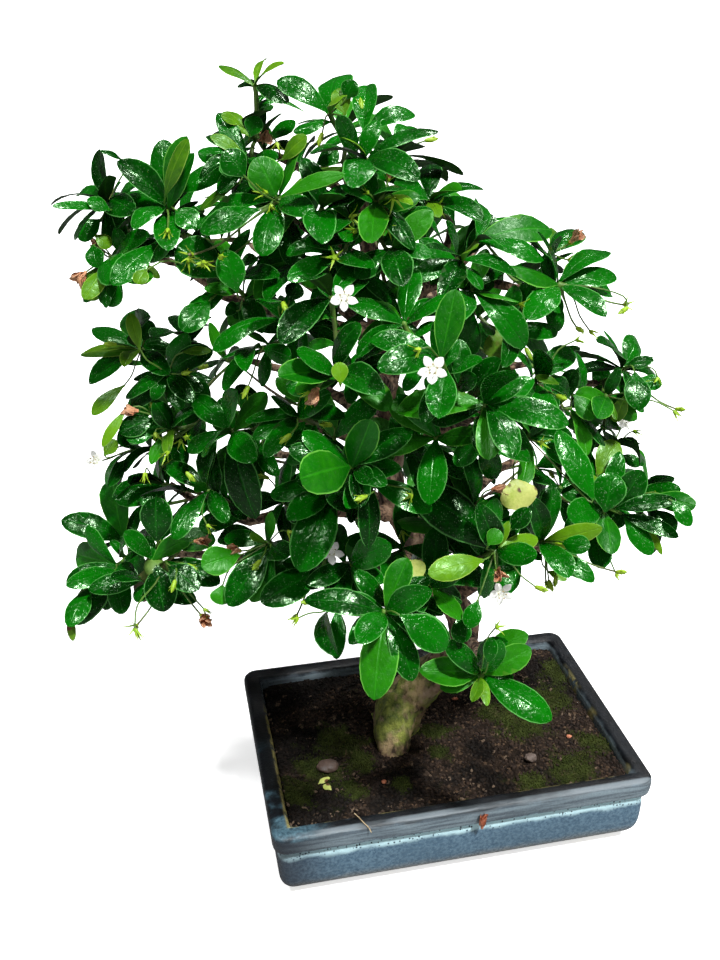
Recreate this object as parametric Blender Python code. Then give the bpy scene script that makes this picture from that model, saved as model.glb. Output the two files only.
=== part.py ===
"""Fukien tea bonsai: a small tree with glossy leaves in a glazed rectangular pot.

The tree is grown by rule round places chosen by hand. Every limb and every tuft of leaves
stands where one looks for it from in front of the pot: across and down in picture units,
and so many millimetres ahead of the upright plane through the foot of the trunk.
Metres, Z up. While the tree grows, the middle of the pot's foot is at the origin; at the
end everything is moved so that the origin is under the middle of the whole plant.
"""

import math
import random

import bmesh
import bpy
import numpy as np
from mathutils import Matrix, Vector
from mathutils.bvhtree import BVHTree

MM = 0.001
TOUCH_GAP = 0.3 * MM
TWIG_GAP = 0.4 * MM

# The pot
POT_LENGTH = 226 * MM
POT_WIDTH = 155 * MM
POT_HEIGHT = 52 * MM
POT_CORNER = 8 * MM
FOOT_HEIGHT = 4 * MM
# outside, from the underside up to the rim, then down the inside: inset from the rim's edge, height
POT_PROFILE = (
    (14.0, 4.0), (8.5, 6.3), (4.8, 11.0), (3.3, 17.0), (3.0, 30.5), (3.7, 35.1), (4.8, 37.2),
    (1.6, 39.5), (0.3, 41.3), (0.0, 49.3), (1.0, 51.4), (2.8, 52.0), (8.4, 52.0), (10.3, 50.8),
    (11.5, 46.0), (14.0, 12.5), (17.0, 9.0),
)
DRAIN_RADIUS = 7 * MM
DRAIN_ACROSS = 52 * MM
POT_FOOT_SIZE = (30 * MM, 20 * MM)
POT_FOOT_INSET = 17 * MM

# The soil
SOIL_TOP = 45 * MM
SOIL_ROUGHNESS = 1.6 * MM
SOIL_RINGS = 5
SOIL_COLUMNS = 22
TRUNK_PLACE = Vector((-23 * MM, 8 * MM, 0))
TRUNK_HOLE_RADIUS = 14 * MM
TRUNK_HOLE_FLOOR = 20 * MM

# The way of looking that the tree's places are given in
EYE = Vector((-150 * MM, -479 * MM, 475 * MM))
PICTURE_MIDDLE = (360.0, 480.0)
SIGHT_FOCAL = 1010.0
SIGHT_TURN = math.radians(12.0)
SIGHT_DIP = math.radians(26.7)
LEVEL = Vector((math.sin(SIGHT_TURN), math.cos(SIGHT_TURN), 0))
RIGHT = Vector((math.cos(SIGHT_TURN), -math.sin(SIGHT_TURN), 0))
SIGHT = LEVEL * math.cos(SIGHT_DIP) - Vector((0, 0, math.sin(SIGHT_DIP)))
DOWN = SIGHT.cross(RIGHT)
UP = Vector((0, 0, 1))

# The trunk and its limbs: across, down, mm ahead, radius in mm, from the root end to the tip
TRUNK = (
    (399, 713, 0, 14.6), (410, 697, 0, 14.2), (434, 675, 0, 12.4), (457, 652, 0, 10.5),
    (464, 628, 2, 9.6), (450, 598, 6, 9.0), (424, 556, 8, 8.6), (400, 514, 4, 8.2),
    (388, 470, 0, 7.8), (391, 430, -4, 7.0), (388, 388, -4, 6.0), (377, 340, 0, 4.8),
    (373, 300, 4, 4.0), (368, 250, 8, 3.2), (361, 200, 10, 2.6), (354, 160, 12, 2.1),
)
LIMBS = {
    "apex_left": ((361, 205, 10, 2.3), (332, 186, 10, 2.1), (296, 168, 8, 1.9), (266, 152, 6, 1.7)),
    "upper_left": ((368, 262, 8, 3.0), (342, 251, 20, 2.5), (320, 239, 28, 2.2), (300, 226, 32, 1.9)),
    "left_top": (
        (377, 338, 0, 4.2), (345, 331, 10, 3.7), (300, 319, 16, 3.4), (259, 309, 20, 3.1),
        (225, 298, 22, 2.7), (200, 281, 20, 2.3), (178, 266, 18, 2.0), (152, 258, 16, 1.7),
    ),
    "right_leader": (
        (390, 382, -4, 5.0), (399, 345, -8, 4.3), (412, 312, -8, 3.7), (432, 275, -4, 3.1),
        (448, 247, 0, 2.5), (452, 228, 4, 2.0),
    ),
    "right_top": (
        (424, 290, -6, 3.1), (450, 282, 0, 2.9), (480, 282, 8, 2.6), (512, 289, 14, 2.3),
        (536, 296, 18, 2.0), (546, 294, 20, 1.8),
    ),
    "front_upper": ((388, 392, -4, 4.4), (384, 384, 25, 3.6), (370, 379, 50, 3.0), (352, 377, 72, 2.1)),
    "front_mid": ((391, 440, -2, 4.6), (383, 445, 25, 3.9), (372, 455, 55, 3.2), (362, 466, 82, 2.2)),
    "right_mid": (
        (391, 430, -4, 5.2), (425, 432, 4, 4.6), (460, 425, 12, 4.1), (492, 404, 16, 3.5),
        (522, 391, 12, 2.8), (560, 388, 4, 2.3), (598, 385, -2, 1.8),
    ),
    "front_right": ((455, 426, 10, 3.6), (462, 424, 38, 3.0), (470, 416, 66, 2.4), (476, 412, 84, 1.9)),
    "left_mid": (
        (389, 450, -2, 5.2), (350, 437, 6, 4.5), (312, 426, 12, 4.1), (278, 420, 16, 3.7),
        (248, 420, 16, 3.2), (215, 412, 12, 2.6), (182, 393, 6, 2.1), (164, 379, 2, 1.7),
    ),
    "left_low": (
        (402, 516, 4, 5.2), (365, 515, 14, 4.5), (330, 512, 22, 3.9), (290, 514, 26, 3.4),
        (250, 523, 26, 3.0), (215, 513, 22, 2.5), (188, 498, 16, 2.2), (170, 486, 10, 1.8),
    ),
    "left_bottom": (
        (424, 556, 8, 5.4), (385, 568, 22, 4.5), (340, 571, 32, 3.9), (291, 567, 36, 3.4),
        (250, 562, 34, 3.0), (215, 557, 28, 2.5), (180, 556, 20, 2.1), (148, 556, 14, 1.7),
    ),
    "front_low": ((446, 592, 6, 4.8), (428, 597, 35, 4.0), (410, 606, 66, 3.2), (396, 613, 96, 2.2)),
    "front_drop": ((463, 632, 4, 4.4), (470, 638, 28, 3.5), (476, 650, 52, 2.8), (480, 664, 76, 2.0)),
    "right_low": (
        (450, 600, 6, 5.4), (475, 586, 14, 4.5), (500, 567, 20, 3.7), (520, 556, 26, 3.2),
        (545, 548, 26, 2.9), (572, 533, 24, 2.5), (594, 520, 22, 2.0),
    ),
    "back_top": ((370, 275, 6, 3.2), (360, 225, -20, 2.6), (345, 178, -44, 1.9)),
    "back_left_high": ((378, 342, 0, 4.0), (330, 300, -32, 3.2), (280, 268, -60, 2.4), (250, 246, -72, 1.8)),
    "back_right_high": ((396, 350, -8, 3.8), (430, 300, -36, 3.0), (460, 268, -60, 2.3), (478, 250, -70, 1.8)),
    "back_left_mid": ((390, 436, -4, 4.6), (340, 400, -34, 3.6), (285, 372, -62, 2.7), (246, 362, -74, 1.9)),
    "back_right_mid": ((391, 425, -4, 4.6), (440, 392, -34, 3.6), (490, 372, -60, 2.7), (526, 366, -70, 1.9)),
    "back_left_low": ((404, 520, 4, 4.8), (350, 484, -32, 3.8), (300, 460, -62, 2.8), (262, 452, -76, 2.0)),
    "back_right_low": ((425, 552, 8, 4.8), (466, 500, -30, 3.8), (500, 470, -58, 2.8), (524, 458, -70, 2.0)),
    "back_mid": ((388, 466, 0, 4.6), (384, 430, -40, 3.6), (378, 400, -76, 2.6), (376, 386, -90, 1.9)),
}

# Leaves
MATURE, BRIGHT, YOUNG, FLAT = "mature", "bright", "young", "flat"
LEAF_LENGTH = {MATURE: 31 * MM, BRIGHT: 31 * MM, YOUNG: 23 * MM, FLAT: 27 * MM}
LEAF_SHARE = {MATURE: 0.46, BRIGHT: 0.50, YOUNG: 0.38, FLAT: 0.40}
LEAF_ARCH = {MATURE: 0.09, BRIGHT: 0.05, YOUNG: 0.08, FLAT: 0.13}
LEAF_LIFT = 0.30
LEAF_CURL = 0.16
LEAF_RIDGE = 1.2 * MM
# how far from foot to tip, and how much of the blade's width it has there
LEAF_OUTLINE = ((0.36, 0.72), (0.73, 1.0), (1.0, 0.36))
GOLDEN_TURN = math.radians(137.5)
LEAF_CLEAR = 0.35 * MM
LEAST_LEAF = 11 * MM

# Twigs, each of which ends in a knob that its leaves and flower stalks stand on
TWIG_ROOT_RADIUS = 1.6 * MM
TWIG_TIP_RADIUS = 1.1 * MM
TWIG_CLEAR = 1.2 * MM
SHORT_TWIG = 24 * MM
FORK_ROOT_RADIUS = 0.5 * MM
KNOB_RADIUS = 1.9 * MM
SMALL_KNOB_RADIUS = 1.6 * MM
SMALL_KNOB_HOLDS = 6

# Flowers
OPEN, SPENT, BUD = "open", "spent", "bud"
PETALS = 5
FLOWER_STALK = {OPEN: 17 * MM, SPENT: 12 * MM, BUD: 16 * MM}
FLOWER_STALK_RADIUS = 0.6 * MM
CALYX_RADIUS = 1.5 * MM
PETAL_REACH = {OPEN: 6.4 * MM, SPENT: 4.4 * MM}
PETAL_RISE = {OPEN: 2.4 * MM, SPENT: 4.2 * MM}
PETAL_THICKNESS = 0.7 * MM

# Stones that lie on the soil: name, where each is seen, and its length, width and height
STONES = (
    ("stone_brown", (328, 768), (15 * MM, 11 * MM, 6 * MM)),
    ("stone_pale", (531, 760), (9 * MM, 7 * MM, 4.5 * MM)),
)


def tuft(place, mature=(), bright=(), young=(), flat=(), fill=2, flowers=(), spent=(), buds=()):
    """A tuft of leaves: where its twig ends, where each leaf's tip is seen, how many more leaves
    its hidden side has, and where its flowers, spent flowers and buds are seen."""
    tips = [(MATURE, t) for t in mature] + [(BRIGHT, t) for t in bright]
    tips += [(FLAT, t) for t in flat] + [(YOUNG, t) for t in young]
    blooms = [(OPEN, f) for f in flowers] + [(SPENT, f) for f in spent] + [(BUD, f) for f in buds]
    return place, tips, fill, blooms


# Leafy shoots: name, the limb that it grows from, and its tufts
SHOOTS = (
    ("apex", "trunk", (
        tuft((330, 116, 22), mature=[(277, 82), (344, 77)], young=[(343, 99)], fill=1),
        tuft((364, 136, 28), mature=[(367, 87)], flat=[(415, 116), (324, 152)], fill=1),
        tuft((366, 162, 44), mature=[(420, 182), (311, 156), (352, 190)], flat=[(439, 133)],
             young=[(342, 139)], fill=0),
        tuft((398, 158, 14), fill=5),
    )),
    ("apex_left", "apex_left", (
        tuft((255, 88, 2), mature=[(291, 108)], young=[(219, 67), (266, 61), (284, 65)], fill=0),
        tuft((252, 138, 12), mature=[(240, 112), (271, 112)], young=[(221, 115)], fill=1),
        tuft((246, 162, 30), mature=[(211, 137), (231, 180), (214, 153), (272, 172)], fill=2),
    )),
    ("upper_left", "upper_left", (
        tuft((278, 203, 50), mature=[(197, 233), (237, 185), (313, 216), (262, 258)],
             bright=[(250, 157)], young=[(351, 172), (322, 181)], fill=1,
             buds=[(193, 257), (207, 266)]),
        tuft((322, 212, 62), mature=[(322, 246), (340, 196)], fill=1),
    )),
    ("middle_top", "upper_left", (
        tuft((336, 258, 66), mature=[(288, 283), (300, 243), (372, 270), (352, 286)], fill=1),
        tuft((304, 262, 46), fill=5),
        tuft((352, 222, 58), fill=5),
    )),
    ("left_top_inner", "left_top", (
        tuft((170, 212, 28), mature=[(117, 163), (163, 141), (126, 195), (228, 168), (168, 253),
                                     (214, 231), (133, 231)], bright=[(193, 154), (187, 138)], fill=2),
    )),
    ("left_top_outer", "left_top", (
        tuft((108, 204, 12), mature=[(108, 177), (77, 240), (110, 249), (134, 214)],
             flat=[(50, 207), (99, 151)], fill=2),
        tuft((114, 261, 26), mature=[(106, 306), (116, 288), (150, 236)], bright=[(95, 234)],
             young=[(82, 300)], fill=1, spent=[(104, 256)]),
        tuft((142, 268, 34), bright=[(137, 286)], young=[(160, 280)], fill=0),
    )),
    ("left_top_under", "left_top", (
        tuft((234, 287, 46), mature=[(181, 326), (279, 279), (258, 262)], bright=[(206, 272)],
             flat=[(190, 283)], fill=2),
    )),
    ("upper_middle", "trunk", (
        tuft((376, 205, 58), mature=[(414, 252), (335, 186), (402, 192)], bright=[(372, 245)],
             young=[(413, 207)], fill=1, spent=[(388, 183)]),
        tuft((391, 252, 70), mature=[(350, 284), (432, 258), (404, 288)], fill=2),
        tuft((398, 318, 66), fill=5),
    )),
    ("right_shoulder", "right_leader", (
        tuft((429, 205, 24), mature=[(430, 166), (484, 223), (394, 186)], bright=[(467, 190)],
             young=[(441, 222)], fill=2),
    )),
    ("right_crown", "right_leader", (
        tuft((477, 243, 30), mature=[(478, 204), (544, 262), (508, 250)], bright=[(552, 232)], fill=2),
        tuft((461, 263, 54), mature=[(441, 302), (410, 283), (417, 248)], young=[(477, 249)], fill=1),
    )),
    ("right_top_end", "right_top", (
        tuft((559, 287, 34), mature=[(529, 322), (617, 279), (612, 297), (606, 319)],
             bright=[(505, 268)], young=[(573, 271)], fill=2, buds=[(624, 307), (577, 330)]),
        tuft((549, 259, 16), flat=[(583, 234)], young=[(560, 240)], mature=[(528, 244)], fill=1,
             spent=[(569, 246)]),
    )),
    ("right_top_inner", "right_top", (
        tuft((472, 293, 50), mature=[(525, 350), (497, 268), (449, 324)], bright=[(490, 322)], fill=2),
        tuft((510, 334, 44), fill=5),
    )),
    ("front_upper", "front_upper", (
        tuft((336, 375, 100), mature=[(360, 325), (297, 355), (385, 396)], bright=[(278, 378)],
             young=[(341, 360)], fill=0),
        tuft((331, 300, 88), mature=[(280, 346), (304, 282), (352, 322)], fill=1, flowers=[(343, 302)]),
    )),
    ("front_upper_left", "left_top", (
        tuft((283, 322, 66), mature=[(212, 352), (262, 302)], fill=1),
        tuft((262, 350, 54), mature=[(246, 374), (291, 360), (232, 362)], fill=2),
    )),
    ("front_crown", "front_right", (
        tuft((441, 362, 112), mature=[(377, 370), (370, 342), (470, 340)], bright=[(456, 291)], fill=0,
             flowers=[(433, 373)]),
        tuft((404, 326, 92), fill=5),
    )),
    ("front_right", "front_right", (
        tuft((485, 407, 104), mature=[(513, 460), (511, 372), (569, 426)],
             bright=[(397, 414), (489, 462)], fill=0),
        tuft((480, 442, 78), mature=[(454, 466), (497, 481), (524, 440)], fill=1),
        tuft((436, 440, 88), fill=5),
    )),
    ("left_mid_end", "left_mid", (
        tuft((141, 352, 10), mature=[(92, 330), (89, 386), (169, 377), (151, 319)],
             bright=[(131, 313)], young=[(80, 357), (124, 369)], fill=1),
        tuft((184, 341, 6), mature=[(150, 340), (203, 328), (178, 317)], fill=2),
        tuft((168, 376, 28), mature=[(125, 400), (193, 405), (213, 352)], flat=[(97, 411)], fill=1),
    )),
    ("left_mid_inner", "left_mid", (
        tuft((232, 434, 46), mature=[(193, 399), (237, 392), (253, 465), (206, 457), (256, 521)],
             bright=[(267, 395)], fill=1),
        tuft((262, 446, 40), fill=5),
    )),
    ("left_mid_under", "left_mid", (
        tuft((174, 431, 28), mature=[(155, 401), (127, 439), (196, 411)], young=[(168, 456)], fill=2,
             buds=[(186, 440)]),
        tuft((137, 452, 8), mature=[(119, 432), (107, 487), (152, 418)], flat=[(103, 447)], fill=1,
             flowers=[(100, 463)]),
    )),
    ("left_centre", "left_mid", (
        tuft((298, 418, 70), mature=[(266, 460), (331, 395), (345, 420), (272, 400)],
             bright=[(300, 395)], fill=1),
        tuft((334, 440, 66), fill=5),
    )),
    ("left_low_end", "left_low", (
        tuft((208, 493, 48), mature=[(173, 541), (231, 529), (166, 466), (214, 455)],
             bright=[(192, 484)], fill=1),
        tuft((163, 486, 22), mature=[(113, 502), (128, 478), (150, 516)], fill=1),
    )),
    ("left_low_inner", "left_low", (
        tuft((330, 492, 72), mature=[(288, 522), (300, 574), (349, 514), (296, 484)],
             bright=[(322, 528)], fill=1, buds=[(303, 516)]),
        tuft((284, 504, 50), fill=5),
    )),
    ("left_bottom_end", "left_bottom", (
        tuft((124, 543, 14), mature=[(61, 522), (121, 497), (100, 508)], bright=[(113, 480)], fill=1),
        tuft((117, 567, 32), mature=[(66, 586), (73, 626), (123, 616)], bright=[(76, 556)],
             young=[(103, 619)], fill=1),
    )),
    ("left_bottom_mid", "left_bottom", (
        tuft((160, 544, 36), mature=[(157, 497), (204, 496), (151, 579)], bright=[(216, 542)], fill=1),
        tuft((166, 564, 54), mature=[(198, 590), (137, 600)], bright=[(163, 612)], fill=1,
             spent=[(201, 617)], buds=[(137, 627)]),
    )),
    ("left_bottom_inner", "left_bottom", (
        tuft((269, 545, 60), mature=[(230, 606), (219, 538), (287, 560), (272, 590)],
             bright=[(274, 511)], young=[(250, 532)], fill=2, spent=[(241, 553)]),
    )),
    ("front_bottom_left", "left_bottom", (
        tuft((324, 570, 74), mature=[(259, 603), (305, 590), (304, 552)], fill=1,
             flowers=[(331, 556)], buds=[(297, 617)]),
        tuft((352, 566, 84), mature=[(391, 546), (384, 585), (346, 536)], fill=0),
    )),
    ("front_middle", "front_mid", (
        tuft((350, 468, 108), mature=[(302, 435), (288, 451), (413, 432)], bright=[(300, 480), (371, 422)],
             fill=0),
        tuft((366, 480, 92), mature=[(432, 513), (346, 510), (402, 470)], fill=1),
        tuft((408, 446, 74), fill=5),
    )),
    ("front_low", "front_low", (
        tuft((385, 614, 122), mature=[(304, 602), (432, 592), (413, 683), (450, 648), (354, 651)],
             bright=[(408, 560), (374, 702)], fill=0),
        tuft((330, 611, 98), mature=[(338, 658), (356, 632)], fill=0),
    )),
    ("front_low_right", "front_low", (
        tuft((431, 588, 92), mature=[(437, 528), (467, 556), (402, 628)], bright=[(459, 622)],
             young=[(412, 562)], fill=1),
        tuft((440, 528, 68), fill=5),
        tuft((402, 550, 70), fill=5),
    )),
    ("front_drop", "front_drop", (
        tuft((481, 677, 100), mature=[(552, 722), (445, 645), (499, 641)],
             bright=[(419, 673), (531, 650), (440, 690)], young=[(472, 704), (487, 708)], fill=0),
    )),
    ("right_mid_end", "right_mid", (
        tuft((622, 372, 0), mature=[(635, 338), (597, 344), (636, 409), (571, 378), (660, 384)],
             flat=[(654, 359), (549, 366)], fill=2, buds=[(676, 411)]),
        tuft((606, 398, 20), bright=[(597, 420), (575, 396)], young=[(616, 422)], fill=1),
        tuft((612, 446, 8), mature=[(640, 468), (575, 436), (640, 446)], young=[(617, 441)], fill=2,
             flowers=[(621, 430)]),
    )),
    ("right_mid_inner", "right_mid", (
        tuft((534, 384, 52), mature=[(570, 400), (542, 352), (508, 398), (552, 430)], fill=2),
        tuft((570, 410, 26), fill=5),
        tuft((528, 440, 62), fill=5),
    )),
    ("right_low_end", "right_low", (
        tuft((602, 510, 38), mature=[(561, 437), (597, 568), (568, 520)], bright=[(611, 556), (612, 462)],
             young=[(590, 478)], fill=1),
        tuft((642, 500, 20), mature=[(695, 507), (690, 527), (678, 538), (653, 556), (629, 470),
                                     (672, 478)], fill=2),
    )),
    ("right_low_mid", "right_low", (
        tuft((540, 545, 60), mature=[(530, 498), (552, 487), (594, 582), (569, 580), (588, 548)],
             young=[(613, 527)], fill=1, buds=[(617, 574), (546, 584)]),
        tuft((560, 490, 40), mature=[(520, 470), (580, 462), (536, 520)], fill=2),
    )),
    ("right_low_inner", "right_low", (
        tuft((495, 553, 98), mature=[(414, 488), (478, 505), (536, 560)], bright=[(428, 577)],
             young=[(509, 523), (538, 540)], fill=0, flowers=[(500, 592)], spent=[(497, 574)]),
        tuft((474, 508, 78), fill=5),
    )),
    ("back_top", "back_top", (
        tuft((346, 132, -34), fill=6),
        tuft((300, 168, -34), fill=6),
        tuft((398, 172, -40), fill=6),
        tuft((374, 226, -72), fill=5),
    )),
    ("back_left_high", "back_left_high", (
        tuft((186, 236, -48), fill=6),
        tuft((238, 206, -72), fill=6),
        tuft((292, 250, -96), fill=6),
    )),
    ("back_right_high", "back_right_high", (
        tuft((482, 226, -62), fill=6),
        tuft((426, 244, -94), fill=6),
        tuft((530, 288, -56), fill=6),
    )),
    ("back_left_mid", "back_left_mid", (
        tuft((226, 362, -84), fill=6),
        tuft((178, 404, -58), fill=6),
        tuft((294, 332, -110), fill=6),
        tuft((318, 404, -60), fill=5),
    )),
    ("back_right_mid", "back_right_mid", (
        tuft((546, 372, -74), fill=6),
        tuft((476, 344, -108), fill=6),
        tuft((588, 424, -48), fill=6),
        tuft((452, 424, -62), fill=5),
    )),
    ("back_left_low", "back_left_low", (
        tuft((226, 474, -84), fill=6),
        tuft((296, 462, -110), fill=6),
        tuft((166, 506, -48), fill=5),
        tuft((352, 498, -66), fill=5),
    )),
    ("back_right_low", "back_right_low", (
        tuft((536, 470, -80), fill=6),
        tuft((466, 466, -108), fill=6),
        tuft((586, 510, -36), fill=5),
        tuft((440, 520, -64), fill=5),
    )),
    ("back_mid", "back_mid", (
        tuft((384, 350, -118), fill=6),
        tuft((372, 422, -120), fill=6),
        tuft((352, 318, -64), fill=5),
        tuft((412, 448, -66), fill=5),
    )),
)


def seen_at(across, down, ahead):
    """The place seen there, in the upright plane that many millimetres ahead of the trunk's foot."""
    ray = SIGHT * SIGHT_FOCAL + RIGHT * (across - PICTURE_MIDDLE[0]) + DOWN * (down - PICTURE_MIDDLE[1])
    foot_distance = (TRUNK_PLACE - EYE).dot(LEVEL)
    return EYE + ray * ((foot_distance - ahead * MM) / ray.dot(LEVEL))


def tip_on_sight_line(foot, across, down, length, axis):
    """Where the tip of a leaf of that length is, if it is seen at that point. Of the two places
    on the line of sight, the one that opens from the twig's axis as a leaf does is taken."""
    ray = SIGHT * SIGHT_FOCAL + RIGHT * (across - PICTURE_MIDDLE[0]) + DOWN * (down - PICTURE_MIDDLE[1])
    ray.normalize()
    nearest = EYE + ray * (foot - EYE).dot(ray)
    spare = length**2 - (nearest - foot).length_squared
    if spare <= 0:
        return nearest
    both = [nearest + ray * math.sqrt(spare), nearest - ray * math.sqrt(spare)]
    return min(both, key=lambda tip: abs((tip - foot).dot(axis) - LEAF_LIFT * length))


def smooth_line(places, steps):
    """Places along a smooth curve through the given ones. Each may hold more than three numbers."""
    rows = [np.array(p, float) for p in places]
    rows = [2 * rows[0] - rows[1], *rows, 2 * rows[-1] - rows[-2]]
    line = []
    for a, b, c, d in zip(rows, rows[1:], rows[2:], rows[3:]):
        for i in range(steps):
            t = i / steps
            line.append(0.5 * (2 * b + (c - a) * t + (2 * a - 5 * b + 4 * c - d) * t**2
                               + (3 * b - a - 3 * c + d) * t**3))
    line.append(rows[-2])
    return np.array(line)


def limb_line(stations, steps):
    """A limb's centre line and radii as rows of x, y, z, radius."""
    return smooth_line([(*seen_at(a, d, f), r * MM) for a, d, f, r in stations], steps)


def trunk_line(steps):
    """The trunk's rows: a plain round plug in the soil, then the leaning, twisting stem."""
    above = [(*seen_at(a, d, f), r * MM) for a, d, f, r in TRUNK]
    neck = (*(TRUNK_PLACE + UP * (SOIL_TOP + 4 * MM)), TRUNK_HOLE_RADIUS + 0.3 * MM)
    stem = smooth_line([neck, *above], steps)
    plug_radius = TRUNK_HOLE_RADIUS - TOUCH_GAP
    plug = [(*(TRUNK_PLACE + UP * z), plug_radius) for z in (TRUNK_HOLE_FLOOR + TOUCH_GAP, SOIL_TOP + 1.9 * MM)]
    return np.vstack([plug, stem])


class Blade:
    """A leaf: it runs from its foot on the knob to its tip, arched along and curled across."""

    def __init__(self, foot, tip, face, width, kind):
        self.foot, self.tip, self.width, self.kind = foot, tip, width, kind
        self.length = (tip - foot).length
        self.along = (tip - foot).normalized()
        face = face - self.along * face.dot(self.along)
        self.face = face.normalized() if face.length > 1e-6 else self.along.orthogonal().normalized()
        self.side = self.along.cross(self.face)

    def place(self, t, half, across, lift=0.0):
        """A place on the blade where it is so far from foot to tip, and half that wide."""
        arch = 4 * LEAF_ARCH[self.kind] * t * (1 - t) * self.length
        return (self.foot + self.along * (t * self.length) + self.side * across
                + self.face * (arch - LEAF_CURL * across**2 / half + lift))

    def rings(self):
        """The solid's cross-sections, each a left edge, a ridge and a right edge; the last an edge."""
        made = []
        for t, share in LEAF_OUTLINE:
            half = share * self.width / 2
            made.append([self.place(t, half, -half), self.place(t, half, 0, LEAF_RIDGE),
                         self.place(t, half, half)])
        return made[:-1] + [[made[-1][0], made[-1][2]]]

    def hull(self, margin):
        """The blade thickened all round by a margin, as a closed tube of five-cornered sections."""
        loops = []
        for t, share in ((0.04, 0.0), *LEAF_OUTLINE):
            half = max(share * self.width / 2, 0.6 * MM)
            wide = half + margin
            end = margin / self.length if t == 1 else 0
            loops.append([self.place(t + end, half, across, lift) for across, lift in (
                (-wide, -margin), (-wide, margin), (0, LEAF_RIDGE + margin), (wide, margin), (wide, -margin))])
        return tube_tree(loops)


def tube_tree(loops):
    """A search tree of the tube through loops of equally many points, with its ends closed."""
    count = len(loops[0])
    points = [p for loop in loops for p in loop]
    faces = [tuple(range(count)), tuple(range(len(points) - count, len(points)))]
    for k in range(len(loops) - 1):
        for i in range(count):
            j = (i + 1) % count
            faces.append((k * count + i, k * count + j, k * count + count + j, k * count + count + i))
    return BVHTree.FromPolygons(points, faces), points


def stem_hull(rows, margin):
    """A search tree of a stem along rows of x, y, z, radius, thickened by a margin."""
    loops = []
    for i, row in enumerate(rows):
        ahead = Vector(rows[min(i + 1, len(rows) - 1)][:3]) - Vector(rows[max(i - 1, 0)][:3])
        across = ahead.orthogonal().normalized()
        if loops:
            across = Vector(loops[-1][0]) - Vector(rows[i - 1][:3])
            across = (across - ahead.normalized() * across.dot(ahead.normalized())).normalized()
        other = ahead.normalized().cross(across)
        reach = (row[3] + margin) / math.cos(math.pi / 5)
        loops.append([Vector(row[:3]) + (across * math.cos(2 * math.pi * k / 5)
                                         + other * math.sin(2 * math.pi * k / 5)) * reach for k in range(5)])
    return tube_tree(loops)


class Thicket:
    """Everything that has grown so far, so that what grows next keeps clear of it."""

    def __init__(self):
        self.stems = []
        self.solids = []

    def add_stem(self, owner, tuft_index, rows, bare_end=0):
        """Keeps a stem. Its last rows may be left off where its own tuft's leaves stand."""
        self.stems.append((owner, dense(rows)))
        inner = rows[:len(rows) - bare_end] if bare_end else rows
        self.keep(owner, tuft_index, stem_hull(rows, LEAF_CLEAR), stem_hull(inner, 0.1 * MM))

    def keep(self, owner, tuft_index, outer, inner):
        points = np.array([tuple(p) for p in outer[1]])
        self.solids.append((owner, tuft_index, outer[0], inner[0], points.min(0), points.max(0)))

    def stem_distance(self, points, owner=None):
        """The least gap between these places and the stems of other owners."""
        least = 1.0
        points = np.array([tuple(p) for p in points]).reshape(-1, 3)
        for name, rows in self.stems:
            if name == owner:
                continue
            lo, hi = rows[:, :3].min(0) - 0.01, rows[:, :3].max(0) + 0.01
            near = points[((points > lo) & (points < hi)).all(1)]
            if len(near):
                gaps = np.linalg.norm(near[:, None] - rows[None, :, :3], axis=2) - rows[None, :, 3]
                least = min(least, gaps.min())
        return least

    def fits(self, owner, tuft_index, outer, inner):
        """Keeps a solid if it is clear of the others and of the pot. Within one tuft only the
        solids themselves keep clear, and elsewhere their thickened hulls do."""
        points = np.array([tuple(p) for p in outer[1]])
        lo, hi = points.min(0), points.max(0)
        if lo[2] < POT_HEIGHT + 12 * MM:
            return False
        for name, index, other_outer, other_inner, other_lo, other_hi in self.solids:
            if (other_lo > hi).any() or (other_hi < lo).any():
                continue
            same = name == owner and index == tuft_index
            if (inner[0].overlap(other_inner) if same else outer[0].overlap(other_outer)):
                return False
        self.solids.append((owner, tuft_index, outer[0], inner[0], lo, hi))
        return True


def dense(rows):
    """Rows of x, y, z, radius with others between them, less than a millimetre and a half apart."""
    parts = []
    for a, b in zip(rows, rows[1:]):
        count = max(1, int(np.linalg.norm(b[:3] - a[:3]) / (1.4 * MM)))
        parts.append(a + (b - a) * np.linspace(0, 1, count, endpoint=False)[:, None])
    return np.vstack([*parts, rows[-1:]])


def bend(start, heading, end, arrival, count):
    """Places along a curve that leaves start on one heading and arrives at end on another."""
    reach = (end - start).length * 0.38
    a, b = start + heading * reach, end - arrival * reach
    return [start * (1 - t) ** 3 + a * 3 * t * (1 - t) ** 2 + b * 3 * t**2 * (1 - t) + end * t**3
            for t in (i / count for i in range(count + 1))]


def twig_rows(start, heading, end, arrival, thick, thin):
    count = 3 if (end - start).length > SHORT_TWIG else 2
    points = bend(start, heading, end, arrival, count)
    return np.array([(*p, thick + (thin - thick) * i / count) for i, p in enumerate(points)])


def outward(place):
    """The way out of the crown at a place, mostly level."""
    away = place - seen_at(378, 400, 0)
    return Vector((away.x, away.y, away.z * 0.6)).normalized()


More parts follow.
